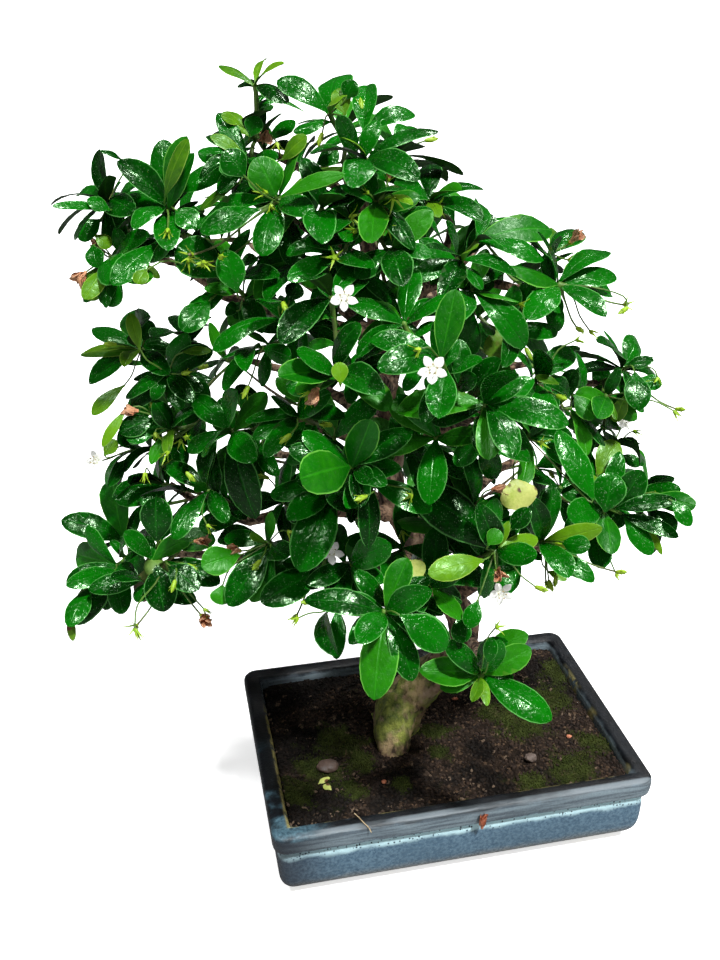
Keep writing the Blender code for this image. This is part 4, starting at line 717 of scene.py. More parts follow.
class Recipe:
    """Lays out nodes in a tree. Each call adds one node or a few and gives back what comes out."""

    def __init__(self, tree):
        self.tree = tree

    def feed(self, socket, value):
        """Links one socket to another, or sets it."""
        if isinstance(value, bpy.types.NodeSocket):
            self.tree.links.new(value, socket)
        else:
            socket.default_value = value

    def node(self, kind, inputs=None, **settings):
        made = self.tree.nodes.new(kind)
        for name, value in settings.items():
            setattr(made, name, value)
        for key, value in (inputs or {}).items():
            self.feed(made.inputs[key], value)
        return made

    def first(self, kind, inputs=None, **settings):
        """The first output of a node."""
        return self.node(kind, inputs, **settings).outputs[0]

    def place(self):
        """Where a point is on its piece."""
        return self.node("ShaderNodeTexCoord").outputs["Object"]

    def split(self, vector):
        """The three numbers of a vector."""
        return self.node("ShaderNodeSeparateXYZ", {0: vector}).outputs

    def mark(self):
        """The mark of the piece's corners: across, along, tone."""
        return self.split(self.node("ShaderNodeAttribute", attribute_name="mark").outputs["Vector"])

    def grain(self, scale, detail=3.0, stretch=(1, 1, 1), shift=(0, 0, 0)):
        """Noise, from 0 to 1, with that many features to the metre."""
        at = self.first("ShaderNodeMapping", {"Vector": self.place(), "Scale": stretch, "Location": shift})
        return self.first("ShaderNodeTexNoise", {"Vector": at, "Scale": scale, "Detail": detail})

    def cells(self, scale):
        """How far it is to the middle of the nearest cell, and a random grey for each cell."""
        made = self.node("ShaderNodeTexVoronoi", {"Vector": self.place(), "Scale": scale})
        return made.outputs["Distance"], self.split(made.outputs["Color"])[0]

    def spots(self, scale, rim, chance):
        """Round spots in some of the cells: where a spot's rim is, and which cells have one."""
        gap, luck = self.cells(scale)
        return self.times(self.fade(gap, *rim, 1.0, 0.0), self.fade(luck, *chance))

    def mottled(self, scale, low=0.35):
        """Blotches of two sizes, as one share from 0 to 1."""
        return self.use(mottle, Scale=scale, Low=low, High=1 - low)["Share"]

    def maths(self, operation, *values):
        return self.first("ShaderNodeMath", dict(enumerate(values)), operation=operation)

    def times(self, a, b):
        return self.maths("MULTIPLY", a, b)

    def plus(self, a, b):
        return self.maths("ADD", a, b)

    def minus(self, a, b):
        return self.maths("SUBTRACT", a, b)

    def size(self, value):
        return self.maths("ABSOLUTE", value)

    def largest(self, value, *others):
        for other in others:
            value = self.maths("MAXIMUM", value, other)
        return value

    def total(self, value, *others):
        """A value, and others added to it by their shares."""
        for other, share in others:
            value = self.maths("MULTIPLY_ADD", other, share, value)
        return value

    def fade(self, value, low, high, to_low=0.0, to_high=1.0):
        """A smooth step between two values."""
        return self.first("ShaderNodeMapRange", {0: value, 1: low, 2: high, 3: to_low, 4: to_high},
                          interpolation_type="SMOOTHSTEP")

    def blend(self, share, first, second):
        """One colour over another."""
        made = self.node("ShaderNodeMix", {0: share}, data_type="RGBA")
        for socket, colour in ((made.inputs[6], first), (made.inputs[7], second)):
            self.feed(socket, (*colour, 1) if isinstance(colour, tuple) else colour)
        return made.outputs[2]

    def coats(self, colour, *coats):
        """Coats laid over a colour one after another, each by its own share."""
        for share, coat in coats:
            colour = self.blend(share, colour, coat)
        return colour

    def bump(self, height, depth, strength):
        return self.first("ShaderNodeBump", {"Height": height, "Distance": depth, "Strength": strength})

    def skin(self, colour, share, rough, height, depth, strength=0.5):
        """What feeds a shader: colour, a roughness that goes with a share, and relief. The height
        is a value, or the scale of a grain."""
        height = self.grain(height) if isinstance(height, float) else height
        return {"Base_Color": colour, "Roughness": self.fade(share, 0.0, 1.0, *rough),
                "Normal": self.bump(height, depth, strength)}

    def use(self, group, **values):
        """One of the shared effects."""
        return self.node("ShaderNodeGroup", values, node_tree=group).outputs


def finish(name, **settings):
    """Makes a material by the rule that follows it, which gives what feeds the shader's inputs."""

    def make(lay_out):
        made = bpy.data.materials.new(name)
        made.use_nodes = True
        recipe = Recipe(made.node_tree)
        shader = made.node_tree.nodes["Principled BSDF"]
        for key, value in {**settings, **lay_out(recipe)}.items():
            recipe.feed(shader.inputs[key.replace("_", " ")], value)
        return made

    return make


def effect(name, **takes):
    """Makes a shared effect by the rule that follows it: a node group with named numbers in and out."""

    def make(lay_out):
        tree = bpy.data.node_groups.new(name, "ShaderNodeTree")
        for label, value in takes.items():
            socket = tree.interface.new_socket(label, in_out="INPUT", socket_type="NodeSocketFloat")
            socket.default_value = value
        gives = lay_out(Recipe(tree), tree.nodes.new("NodeGroupInput").outputs)
        for label in gives:
            tree.interface.new_socket(label, in_out="OUTPUT", socket_type="NodeSocketFloat")
        target = tree.nodes.new("NodeGroupOutput")
        for label, value in gives.items():
            tree.links.new(value, target.inputs[label])
        return tree

    return make


@effect("mottle", Scale=60.0, Low=0.4, High=0.6)
def mottle(r, given):
    """Blotches of two sizes, as one share from 0 to 1."""
    fine = r.grain(r.times(given["Scale"], 6.0), 2.0)
    both = r.total(r.times(fine, 0.3), (r.grain(given["Scale"], 5.0), 0.7))
    return {"Share": r.first("ShaderNodeMapRange", {0: both, 1: given["Low"], 2: given["High"]})}


@effect("leaf relief", Veins=6.0)
def leaf_relief(r, given):
    """A leaf's middle rib, side veins, pale margin, which is partly its own pale edge and partly a painted
    edge highlight, fine dots and pebbled gloss.
    """
    across, along, _ = r.mark()
    out = r.size(across)
    rib = r.fade(out, 0.02, 0.10, 1.0, 0.0)
    run = r.maths("FRACT", r.minus(r.times(along, given["Veins"]), r.times(out, 1.9)))
    vein = r.fade(r.size(r.minus(run, 0.5)), 0.03, 0.10, 1.0, 0.0)
    vein = r.times(vein, r.fade(out, 0.75, 0.95, 1.0, 0.0))
    speck = r.spots(1150.0, (0.20, 0.34), (0.68, 0.74))
    pebble = r.grain(620.0, 2.0)
    swell = r.grain(170.0, 1.0)
    height = r.total(r.times(pebble, 0.34), (swell, 0.8), (rib, -0.30), (vein, -0.05), (speck, 0.05))
    return {"Rib": rib, "Vein": vein, "Margin": r.fade(out, 0.90, 0.985), "Speck": speck, "Height": height,
            "Pebble": pebble}


def leaf_finish(name, deep, lit, vein, margin, speck_share, gloss):
    """A leaf's upper side: two greens that change from leaf to leaf and over each leaf."""

    @finish(name, Specular_IOR_Level=0.42, Specular_Tint=(0.66, 1.0, 0.62, 1))
    def upper(r):
        marks = r.use(leaf_relief)
        shade = r.total(r.times(r.mottled(70.0), 0.45), (r.mark()[2], 0.75))
        # the pale margin is partly the leaf's own pale edge and partly a painted highlight along it
        colour = r.coats(r.blend(r.fade(shade, 0.1, 1.0), deep, lit), (r.times(marks["Vein"], 0.10), vein),
                         (r.times(marks["Rib"], 0.45), vein),
                         (r.times(marks["Speck"], speck_share), (0.30, 0.48, 0.26)),
                         (r.times(marks["Margin"], 0.75), margin))
        return {"Base_Color": colour, "Roughness": r.fade(marks["Pebble"], 0.35, 0.7, *gloss),
                "Normal": r.bump(marks["Height"], 0.0012, 0.5)}

    return upper


def fading_finish(name, dark, light):
    """An old leaf that is losing its green, with brown spots."""

    @finish(name, Specular_IOR_Level=0.2)
    def fading(r):
        share = r.mottled(120.0)
        spot = r.spots(210.0, (0.20, 0.42), (0.55, 0.6))
        colour = r.coats(dark, (share, light), (spot, (0.10, 0.04, 0.02)))
        return r.skin(colour, share, (0.35, 0.5), 600.0, 0.0005)

    return fading


def underside_finish(name, deep, lit):
    """A leaf's lower side, paler and dull."""

    @finish(name, Specular_IOR_Level=0.2)
    def lower(r):
        across, _, tone = r.mark()
        share = r.mottled(110.0, 0.3)
        rib = r.fade(r.size(across), 0.03, 0.14, 1.0, 0.0)
        colour = r.coats(deep, (r.times(r.plus(share, tone), 0.5), lit),
                         (r.times(rib, 0.6), tuple(c * 1.9 for c in lit)))
        return r.skin(colour, share, (0.45, 0.6), 500.0, 0.0005)

    return lower


def two_tone_finish(name, dark, light, scale, low=0.35, rough=(0.5, 0.8), grain=None, depth=0.0006,
                    strength=0.7):
    """A bit, a bud or a pebble in two mottled tones."""

    @finish(name)
    def mottled(r):
        share = r.mottled(scale, low)
        return r.skin(r.blend(share, dark, light), share, rough, grain or scale * 4, depth, strength)

    return mottled


deep_under = underside_finish("leaf underside", (0.004, 0.036, 0.002), (0.020, 0.085, 0.005))
bright_under = underside_finish("bright leaf underside", (0.02, 0.14, 0.004), (0.07, 0.27, 0.010))
mature = leaf_finish("glossy mature leaf", (0.0002, 0.024, 0.0005), (0.0018, 0.130, 0.0012),
                     (0.008, 0.14, 0.006), (0.12, 0.42, 0.09), 0.26, (0.13, 0.30))
bright = leaf_finish("bright leaf", (0.0005, 0.095, 0.0006), (0.019, 0.205, 0.0016), (0.025, 0.26, 0.006),
                     (0.18, 0.54, 0.07), 0.08, (0.30, 0.46))
young = leaf_finish("young leaf", (0.030, 0.13, 0.003), (0.12, 0.30, 0.005), (0.16, 0.36, 0.015),
                    (0.36, 0.56, 0.09), 0.05, (0.28, 0.44))
yellow = fading_finish("yellowed leaf", (0.34, 0.44, 0.07), (0.56, 0.60, 0.17))
olive = fading_finish("olive leaf", (0.055, 0.16, 0.008), (0.14, 0.27, 0.02))
# the upper and the lower side of each kind of leaf
LEAF_SIDES = {MATURE: (mature, deep_under), FLAT: (mature, deep_under), BRIGHT: (bright, bright_under),
              YOUNG: (young, bright_under), YELLOWED: (yellow, yellow), OLIVE: (olive, olive)}
# cups, sepals and buds
cup_green = two_tone_finish("flower cup green", (0.17, 0.38, 0.006), (0.46, 0.64, 0.04), 220.0, 0.3,
                            (0.38, 0.55), 1400.0, 0.0003, 0.4)
pollen = two_tone_finish("pollen", (0.35, 0.26, 0.10), (0.60, 0.48, 0.22), 900.0)
brown_pebble = two_tone_finish("brown pebble", (0.035, 0.020, 0.014), (0.10, 0.062, 0.046), 130.0)
pale_pebble = two_tone_finish("pale pebble", (0.06, 0.042, 0.034), (0.19, 0.14, 0.115), 200.0)
orange = two_tone_finish("orange chip", (0.30, 0.07, 0.03), (0.62, 0.24, 0.13), 400.0)
straw = two_tone_finish("dry straw", (0.35, 0.25, 0.12), (0.62, 0.50, 0.30), 500.0)


@finish("young twig")
def stem_green(r):
    """Young twigs and stalks: green, going brown towards their root."""
    _, along, tone = r.mark()
    share = r.mottled(160.0)
    green = r.blend(share, (0.045, 0.13, 0.012), (0.13, 0.26, 0.03))
    brown = r.blend(share, (0.045, 0.028, 0.014), (0.13, 0.085, 0.045))
    colour = r.blend(r.fade(r.total(along, (tone, 0.35)), 0.35, 1.0), brown, green)
    return r.skin(colour, share, (0.42, 0.65), 900.0, 0.0004)


# The petals glow faintly: painted light that keeps them white where they lie in shade.
@finish("white petal with painted glow", Emission_Color=(1, 1, 0.97, 1), Emission_Strength=0.10)
def white(r):
    """White petals with faint lengthwise veins, greenish at the throat, and a faint painted glow."""
    across, along, _ = r.mark()
    line = r.size(r.maths("SINE", r.times(across, 9.0)))
    share = r.mottled(300.0, 0.3)
    colour = r.coats((0.86, 0.87, 0.82), (r.times(line, 0.12), (0.66, 0.72, 0.62)),
                     (r.fade(along, 0.34, 0.04), (0.42, 0.46, 0.20)))
    return r.skin(colour, share, (0.5, 0.7), r.plus(line, share), 0.0002)


@finish("withered petal")
def withered(r):
    """Dry orange-brown petals."""
    across, along, _ = r.mark()
    share = r.mottled(260.0)
    colour = r.coats((0.56, 0.19, 0.08), (share, (0.86, 0.45, 0.24)),
                     (r.times(r.fade(along, 0.4, 1.0), 0.6), (0.72, 0.48, 0.30)))
    line = r.maths("SINE", r.times(across, 14.0))
    return r.skin(colour, share, (0.6, 0.85), r.plus(line, r.grain(1200.0)), 0.0005, 0.7)


@finish("old bark")
def bark(r):
    """Grey-brown bark, fissured along the trunk, flaky on limbs, mossy and buff near the soil."""
    furrows = r.grain(260.0, 6.0, (1.0, 1.0, 0.30))
    flakes = r.grain(340.0, 6.0)
    thick = r.mark()[1]
    ridge = r.total(flakes, (r.minus(furrows, flakes), thick))
    crack = r.fade(ridge, 0.42, 0.56)
    brown = r.blend(crack, (0.036, 0.020, 0.012), (0.200, 0.118, 0.068))
    grey = r.blend(crack, (0.060, 0.040, 0.026), (0.36, 0.25, 0.165))
    moss = r.blend(r.mottled(150.0), (0.038, 0.066, 0.008), (0.24, 0.27, 0.045))
    low = r.fade(r.split(r.place())[2], *BARK_MOSS_HEIGHTS)
    patch = r.fade(r.grain(75.0, 5.0), 0.34, 0.58)
    buff = r.fade(r.grain(95.0, 5.0, (1, 1, 1), (0.3, 0.1, 0.2)), 0.50, 0.66)
    colour = r.coats(brown, (r.fade(r.mottled(55.0), 0.35, 0.85), grey), (r.times(low, patch), moss),
                     (r.times(buff, low), (0.42, 0.31, 0.15)))
    return r.skin(colour, crack, (0.95, 0.72), r.total(ridge, (r.grain(900.0), 0.4)), 0.0022, 0.8)


def crust_share(r, x, y):
    """Where a tan crust lies on the inside of the wall: in patches, and all along the left end."""
    inside = r.largest(r.minus(r.size(x), POT_LENGTH / 2 - WALL_INSET),
                       r.minus(r.size(y), POT_WIDTH / 2 - WALL_INSET))
    patches = r.times(r.fade(r.grain(22.0, 2.0), 0.50, 0.56), 0.9)
    crust = r.times(r.fade(inside, 1.2 * MM, -0.8 * MM),
                    r.largest(r.fade(x, *CRUST_ACROSS), patches))
    return r.times(crust, r.fade(r.grain(160.0, 4.0), 0.40, 0.50))


@finish("blue speckled glaze", Specular_IOR_Level=0.4)
def glaze(r):
    """The pot's glaze by height: bare clay at the foot, speckled blue on the body, pale aqua
    pooled in the groove, slate on the band, and near-black with teal patches on the rim. A pale
    highlight is painted along the rim's front edge, and painted shade darkens the left end."""
    x, y, z = r.split(r.place())
    x, y = r.minus(x, POT_MIDDLE.x), r.minus(y, POT_MIDDLE.y)
    level = r.total(z, (r.minus(r.grain(90.0, 4.0), 0.5), GLAZE_RUNS))
    fine = r.mottled(560.0, 0.36)
    streak = r.grain(120.0, 4.0, (0.25, 0.25, 4.0))
    # painted shade: towards the left end the body, band and groove are darkened and the painted highlight is
    # dimmed, for the shade that falls there
    painted_left_shade = r.fade(x, *SHADED_LEFT_END)
    clay = r.blend(fine, (0.21, 0.215, 0.205), (0.42, 0.41, 0.36))
    body = r.coats((0.036, 0.085, 0.140), (fine, (0.16, 0.265, 0.350)),
                   (r.times(r.mottled(34.0), 0.55), (0.068, 0.128, 0.185)),
                   (r.times(r.spots(900.0, (0.22, 0.34), (0.45, 0.6)), 0.5), (0.22, 0.33, 0.41)),
                   (r.fade(level, *CLAY_LEVELS), clay), (r.times(painted_left_shade, 0.85), (0.020, 0.022, 0.030)))
    pool = r.times(r.fade(level, *POOL_LOW), r.fade(level, *POOL_HIGH))
    pool = r.times(pool, r.fade(painted_left_shade, 0.0, 1.0, 1.0, 0.4))
    aqua = r.coats((0.56, 0.79, 0.83), (r.times(fine, 0.4), (0.30, 0.48, 0.56)),
                   (r.spots(560.0, (0.25, 0.36), (0.35, 0.5)), (0.03, 0.05, 0.075)))
    slate = r.coats((0.095, 0.125, 0.150), (r.fade(streak, 0.38, 0.62), (0.205, 0.265, 0.300)),
                    (r.times(painted_left_shade, 0.9), (0.012, 0.016, 0.024)))
    teal = r.blend(fine, (0.014, 0.036, 0.055), (0.085, 0.170, 0.215))
    navy = r.blend(r.mottled(80.0, 0.4), (0.0010, 0.0013, 0.0022), (0.0045, 0.0065, 0.0095))
    worn = r.times(r.fade(r.grain(48.0, 5.0), 0.44, 0.56),
                   r.times(r.fade(x, *WORN_ACROSS), r.fade(y, *WORN_TO_FRONT)))
    # painted highlight: a pale streaky strip along the rim's front edge
    near = r.fade(y, *HIGHLIGHT_STRIP)
    painted_highlight = r.times(near, r.fade(streak, 0.36, 0.58, 0.25, 1.0))
    painted_highlight = r.times(painted_highlight, r.fade(painted_left_shade, 0.0, 1.0, 1.0, 0.15))
    top = r.coats(navy, (worn, teal), (painted_highlight, (0.15, 0.18, 0.20)))
    crust = crust_share(r, x, y)
    tan = r.blend(fine, (0.15, 0.13, 0.035), (0.42, 0.36, 0.13))
    colour = r.coats(body, (pool, aqua), (r.fade(level, *BAND_LEVELS), slate),
                     (r.fade(level, *RIM_LEVELS), top), (r.times(crust, r.fade(y, *CRUST_TO_FRONT)), tan))
    rough = r.largest(r.fade(fine, 0.0, 1.0, 0.16, 0.36), r.fade(level, *DULL_RIM, 0.0, 0.42),
                      r.times(crust, 0.9), r.fade(level, *DULL_FOOT, 0.0, 0.8))
    relief = r.total(r.plus(r.grain(60.0), crust), (fine, 0.35))
    return {"Base_Color": colour, "Roughness": rough, "Normal": r.bump(relief, 0.0009, 0.45)}


def dark_soil_share(r):
    """Where the soil is darkest: in blotches, and more so to the left."""
    left = r.fade(r.split(r.place())[0], *(POT_MIDDLE.x + far for far in DARKER_SOIL_ACROSS), 0.0, 0.12)
    return r.fade(r.plus(r.grain(26.0, 4.0), left), 0.50, 0.62, 0.0, 0.85)


@finish("soil crumb", Specular_IOR_Level=0.25)
def crumb(r):
    """Crumbs of soil from near-black to brown, a few of them tan."""
    share = r.mottled(260.0)
    colour = r.coats((0.0025, 0.0017, 0.0012), (share, (0.046, 0.028, 0.019)),
                     (dark_soil_share(r), (0.004, 0.003, 0.002)),
                     (r.fade(r.cells(330.0)[1], 0.93, 0.97), (0.13, 0.09, 0.06)))
    return r.skin(colour, share, (0.7, 0.98), 1000.0, 0.0006, 0.7)


@finish("damp soil", Specular_IOR_Level=0.15)
def earth(r):
    """Dark, damp, crumbly soil, green where moss films over it."""
    gap, luck = r.cells(620.0)
    share = r.mottled(190.0)
    green = r.blend(share, (0.010, 0.016, 0.002), (0.046, 0.062, 0.010))
    film = r.times(r.mark()[0], r.fade(r.grain(140.0, 4.0), 0.30, 0.62, 0.35, 1.0))
    colour = r.coats((0.003, 0.002, 0.0015), (share, (0.026, 0.016, 0.010)),
                     (r.times(r.fade(luck, 0.80, 0.95), 0.7), (0.12, 0.075, 0.045)),
                     (dark_soil_share(r), (0.0022, 0.0016, 0.0012)), (film, green))
    return r.skin(colour, share, (0.98, 0.75), r.total(r.grain(520.0, 4.0), (gap, -0.6)), 0.0016, 0.9)


@finish("moss", Specular_IOR_Level=0.15)
def moss(r):
    """Dull green moss, in broad blotches, with paler tips."""
    lit = r.mottled(600.0, 0.3)
    colour = r.coats((0.018, 0.033, 0.005), (r.mottled(85.0), (0.042, 0.050, 0.008)),
                     (r.times(lit, 0.4), (0.068, 0.090, 0.016)))
    return r.skin(colour, lit, (0.9, 0.7), 1500.0, 0.0003)


class Shoot:
    """A leafy shoot as its solid shows it: its leaves and knobs, its bare twigs, and its buds."""

    def __init__(self, node):
        self.node, self.shape = node, Shape()
        self.mesh = merged(node)
        self.obstacle = BVHTree.FromBMesh(self.mesh)
        self.leaves = read_leaves(self.mesh)
        self.knobs = read_knobs(self.leaves)
        roots = [leaf.root for leaf in self.leaves]
        bmesh.ops.delete(self.mesh, geom=[v for leaf in self.leaves for v in leaf.corners], context="VERTS")
        for root in roots:
            self.mesh.faces.new(root)
        bmesh.ops.recalc_face_normals(self.mesh, faces=self.mesh.faces)
        self.buds = [(face.calc_center_median() - face.normal * BUD_LENGTH, face.normal.copy())
                     for face in self.mesh.faces
                     if all(abs(edge.calc_length() - BUD_TIP_EDGE) < 0.03 * MM for edge in face.edges)]
        self.behind = node.startswith("shoot_back")
        self.twig = self.bare_twig()

    def thickness(self, corner):
        """The radius of the twig or stalk that a corner of the bare solid is on."""
        return min(edge.calc_length() for edge in corner.link_edges) / STEM_SPREAD

    def nearest_knob(self, place):
        return min(self.knobs, key=lambda knob: (knob.middle - place).length)

    def bare_twig(self):
        """The faces of the twigs below the tufts: corners, the way out, and area."""
        places = []
        for face in self.mesh.faces:
            middle = face.calc_center_median()
            knob = self.nearest_knob(middle)
            way = middle - knob.middle
            if (TUFT_DEPTH < way.length < TWIG_REACH and way.dot(knob.axis()) < 0
                    and min(self.thickness(corner) for corner in face.verts) > THIN_STALK):
                places.append(([v.co.copy() for v in face.verts], face.normal.copy(), face.calc_area()))
        return places

    def dress_twigs(self):
        """The bare twigs, knobs and stalks, made round and filled out to their thickness. Stalks
        are green, and twigs are brown towards their root."""
        push = self.mesh.verts.layers.float.new("push")
        mark = self.mesh.verts.layers.float_vector.new("mark")
        for corner in self.mesh.verts:
            thick = self.thickness(corner)
            away = (self.nearest_knob(corner.co).middle - corner.co).length / GREEN_REACH
            corner[push] = max(0.1 * MM, thick * 0.5 - 0.17 * MM)
            corner[mark] = (0.0, max(0.0, 1 - away), 1.6 if thick < THIN_STALK else 0.3)
        fine = shaped(self.mesh, "SUBSURF", levels=2, render_levels=2)
        out = [entry.value for entry in fine.attributes["push"].data]
        corners = [v.co + v.normal * out[i] for i, v in enumerate(fine.vertices)]
        marks = [tuple(entry.vector) for entry in fine.attributes["mark"].data]
        self.shape.add(corners, faces_of(fine), stem_green, marks)

    def dress_leaves(self):
        """A fine leaf in the place of each solid one."""
        for leaf in self.leaves:
            sheet = Sheet(leaf.foot - leaf.along * LEAF_ROOT * MM, leaf.along, leaf.face,
                          leaf.length + LEAF_ROOT * MM, leaf.width * draw.uniform(0.82, 1.00),
                          **leaf_bends(0.9, 1.9, LEAF_ARCH[leaf.kind]))
            sheet.add_to(self.shape, draw.random(), *LEAF_SIDES[leaf.kind])

    def add_stalk(self, start, heading, end, arrival):
        """A thin stalk that leaves on one heading and arrives on another."""
        rows = [(*place, STALK_RADIUS) for place in smooth_line(bend(start, heading, end, arrival, 3), 3)]
        add_stem(self.shape, rows, 5, 1.0 + draw.random(), stem_green)

    def add_spray(self, knob, heading, end, arrival, dress):
        """A stalk with what it carries."""
        self.add_stalk(knob.middle, heading, end, arrival)
        dress(self.shape, end, arrival)

    def add_some_sprays(self):
        """Sprays that stand out of some tufts beside those of the solids."""
        for knob in self.knobs:
            if draw.random() < SPRAY_CHANCE:
                out = Vector([draw.uniform(-1, 1) for _ in range(3)])
                heading = (knob.axis() + out * 0.75).normalized()
                end = knob.middle + heading * draw.uniform(9, 15) * MM
                arrival = (heading + UP * draw.uniform(-0.6, 0.2)).normalized()
                self.add_spray(knob, heading, end, arrival, draw.choice((dress_bud, dress_star)))

    def put_leaf(self, room, sheet, upper, lower):
        """Adds a leaf if it is clear of everything, and says whether it is."""
        trial, first = Shape(), LEAF_FREE_FROM
        sheet.add_to(trial, draw.random(), upper, lower)
        free = trial.corners[first:]
        faces = [tuple(i - first for i in face) for face in trial.faces if min(face) >= first]
        fits = room.fits(free, faces)
        if fits:
            room.keep(free, faces)
            self.shape.add(trial.corners, trial.faces, trial.finishes, trial.marks)
        return fits

    def dress(self, flowers):
        """The leaves, twigs, stalks, cups and buds of the solid, and some sprays more."""
        self.dress_leaves()
        for end, heading in self.buds:
            draw.choice((dress_bud, dress_star))(self.shape, end, heading)
        for base, heading in flowers:
            if self.obstacle.find_nearest(base)[3] < CUP_GAP:
                dress_cup(self.shape, base - heading * TOUCH_GAP, heading)
        if not self.behind:
            self.add_some_sprays()
        self.dress_twigs()

    def grow_lower_leaves(self, room):
        """More, smaller leaves along the twigs below the tufts, wherever there is room for them."""
        wanted = 1 if self.node == "shoot_apex" else LOWER_LEAVES_BEHIND if self.behind else LOWER_LEAVES
        sizes = [area for *_, area in self.twig]
        for _ in range(wanted * len(self.knobs)):
            for _ in range(LEAF_TRIES):
                corners, out, _ = draw.choices(self.twig, sizes)[0]
                a, b = sorted((draw.random(), draw.random()))
                foot = corners[0] * a + corners[1] * (b - a) + corners[2] * (1 - b)
                ahead = self.nearest_knob(foot).middle - foot
                ahead = (ahead - out * ahead.dot(out)).normalized()
                out = Matrix.Rotation(draw.uniform(-1.0, 1.0), 3, ahead) @ out
                heading = (out + ahead * draw.uniform(0.1, 0.9) + UP * draw.uniform(-0.4, 0.3)).normalized()
                face = ahead * 0.6 + UP * 0.6 - SIGHT * 0.3
                if self.put_leaf(room, *free_leaf(foot, heading, face, draw.uniform(14, 30) * MM)):
                    break


class Room:
    """Everything that already stands there, so that a new leaf can be put where there is room."""

    def __init__(self, forms):
        self.trees, self.lows, self.highs = [], np.empty((0, 3)), np.empty((0, 3))
        for corners, faces in forms:
            self.keep(corners, faces)

    def keep(self, corners, faces):
        """Notes a form, so that no later leaf is put through it."""
        self.trees.append(BVHTree.FromPolygons(corners, faces))
        points = np.array([tuple(p) for p in corners])
        self.lows, self.highs = np.vstack([self.lows, points.min(0)]), np.vstack([self.highs, points.max(0)])

    def fits(self, corners, faces):
        """Whether a form is clear of everything, well above the pot, and in no open gap."""
        points = np.array([tuple(p) for p in corners])
        low, high = points.min(0), points.max(0)
        if low[2] < LOWEST_LEAF or (low < BOX[0]).any() or (high > BOX[1]).any():
            return False
        tree = BVHTree.FromPolygons(corners, faces)
        if any(tree.ray_cast(EYE, in_view(*gap))[0] is not None for gap in OPEN_GAPS):
            return False
        near = np.nonzero(((self.lows < high) & (self.highs > low)).all(1))[0]
        return not any(tree.overlap(self.trees[i]) for i in near)

    def first_seen(self, ray):
        """How far from the eye the first thing on a line of sight is."""
        hits = [tree.ray_cast(EYE, ray)[3] for tree in self.trees]
        return min((hit for hit in hits if hit is not None), default=math.inf)


def leaf_bends(flattest, most, arch=1.0):
    """The chance bends of one leaf, which arches between two limits."""
    return {"outline": leaf_outline(draw.uniform(0.52, 0.68)), "arch": arch * draw.uniform(flattest, most),
            "curl": draw.uniform(0.08, 0.5), "groove": RIB_GROOVE, "stalk": LEAF_STALK,
            "twist": draw.uniform(-0.45, 0.45), "ripple": draw.uniform(0.02, 0.14),
            "start": draw.uniform(0, 2 * math.pi), "fold": draw.uniform(-0.1, 0.55)}


def free_leaf(foot, heading, face, length):
    """A leaf that leaves a twig at some place below its tuft, and its two finishes."""
    tilt = Vector([draw.uniform(-0.4, 0.4) for _ in range(3)])
    sides = LEAF_SIDES[BRIGHT if draw.random() < BRIGHT_CHANCE else MATURE]
    return Sheet(foot - heading * 0.6 * MM, heading, face + tilt, length, length * draw.uniform(0.36, 0.50),
                 **leaf_bends(0.04, 0.16)), *sides


def dress_cup(shape, base, heading, spread=0.5, length=2.6 * MM, width=1.05 * MM):
    """A green cup with five narrow lobes."""
    foot = base - heading * 1.6 * MM
    rows = rows_along(foot, heading, (0, 0.45), (0.8, 1.05), (1.7, 1.15))
    add_stem(shape, rows, 6, draw.random(), cup_green)
    first = draw.uniform(0, math.pi)
    for k in range(PETALS):
        out = outward(heading, first + 2 * math.pi * k / PETALS)
        along = (heading * (1 - spread) + out * spread).normalized()
        lobe = Sheet(foot + heading * 0.7 * MM + out * 0.7 * MM, along, heading - out * 0.4,
                     length * draw.uniform(0.85, 1.2), width, rows=SHORT_ROWS, outline=sepal_outline,
                     thickness=0.25 * MM)
        lobe.add_to(shape, draw.random(), cup_green, cup_green)


def dress_bud(shape, end, heading):
    """A closed bud in its green lobes."""
    rows = rows_along(end, heading, (-0.6, 0.4), (0.4, 1.0), (2.2, 1.3), (4.6, 1.0), (6.2, 0.2))
    add_stem(shape, rows, 7, draw.random(), cup_green)
    dress_cup(shape, end + heading * 0.9 * MM, heading, 0.22, 5.2 * MM, 1.3 * MM)


def dress_star(shape, end, heading):
    """The open star that is left when a flower has dropped."""
    dress_cup(shape, end + heading * 1.2 * MM, heading, draw.uniform(0.25, 0.6),
              draw.uniform(4.6, 6.8) * MM, 1.5 * MM)


def open_flower(shape, base, heading):
    """A white star of five broad petals, with its stamens, turned a little to the front."""
    heading = (heading - SIGHT * 0.6).normalized()
    add_stem(shape, rows_along(base, heading, (-0.2, 0.9), (1.0, 1.2), (1.5, 1.35)), 10, 0.5, white)
    for k in range(PETALS):
        out = outward(heading, 2 * math.pi * (k + 0.5) / PETALS)
        rise = draw.uniform(0.10, 0.26)
        foot, along = base + heading * 1.1 * MM + out * 0.5 * MM, (out + heading * rise).normalized()
        petal = Sheet(foot, along, heading - out * rise, 5.7 * MM * draw.uniform(0.92, 1.06),
                      3.9 * MM * draw.uniform(0.9, 1.1), rows=PETAL_ROWS, outline=petal_outline,
                      arch=0.10, curl=0.30, thickness=0.22 * MM, twist=draw.uniform(-0.3, 0.3),
                      ripple=0.12, start=draw.uniform(0, 6))
        petal.add_to(shape, draw.random(), white, white)
    for k in range(PETALS):
        out = outward(heading, 2 * math.pi * k / PETALS)
        low = base + heading * 1.2 * MM + out * 0.8 * MM
        lean = (heading + out * 0.45).normalized()
        add_stem(shape, rows_along(low, lean, (0, 0.16), (2.6, 0.14)), 4, 0.5, white)
        add_stem(shape, rows_along(low + lean * 2.6 * MM, heading, (0, 0.25), (0.45, 0.42), (0.9, 0.18)),
                 5, 0.5, pollen)


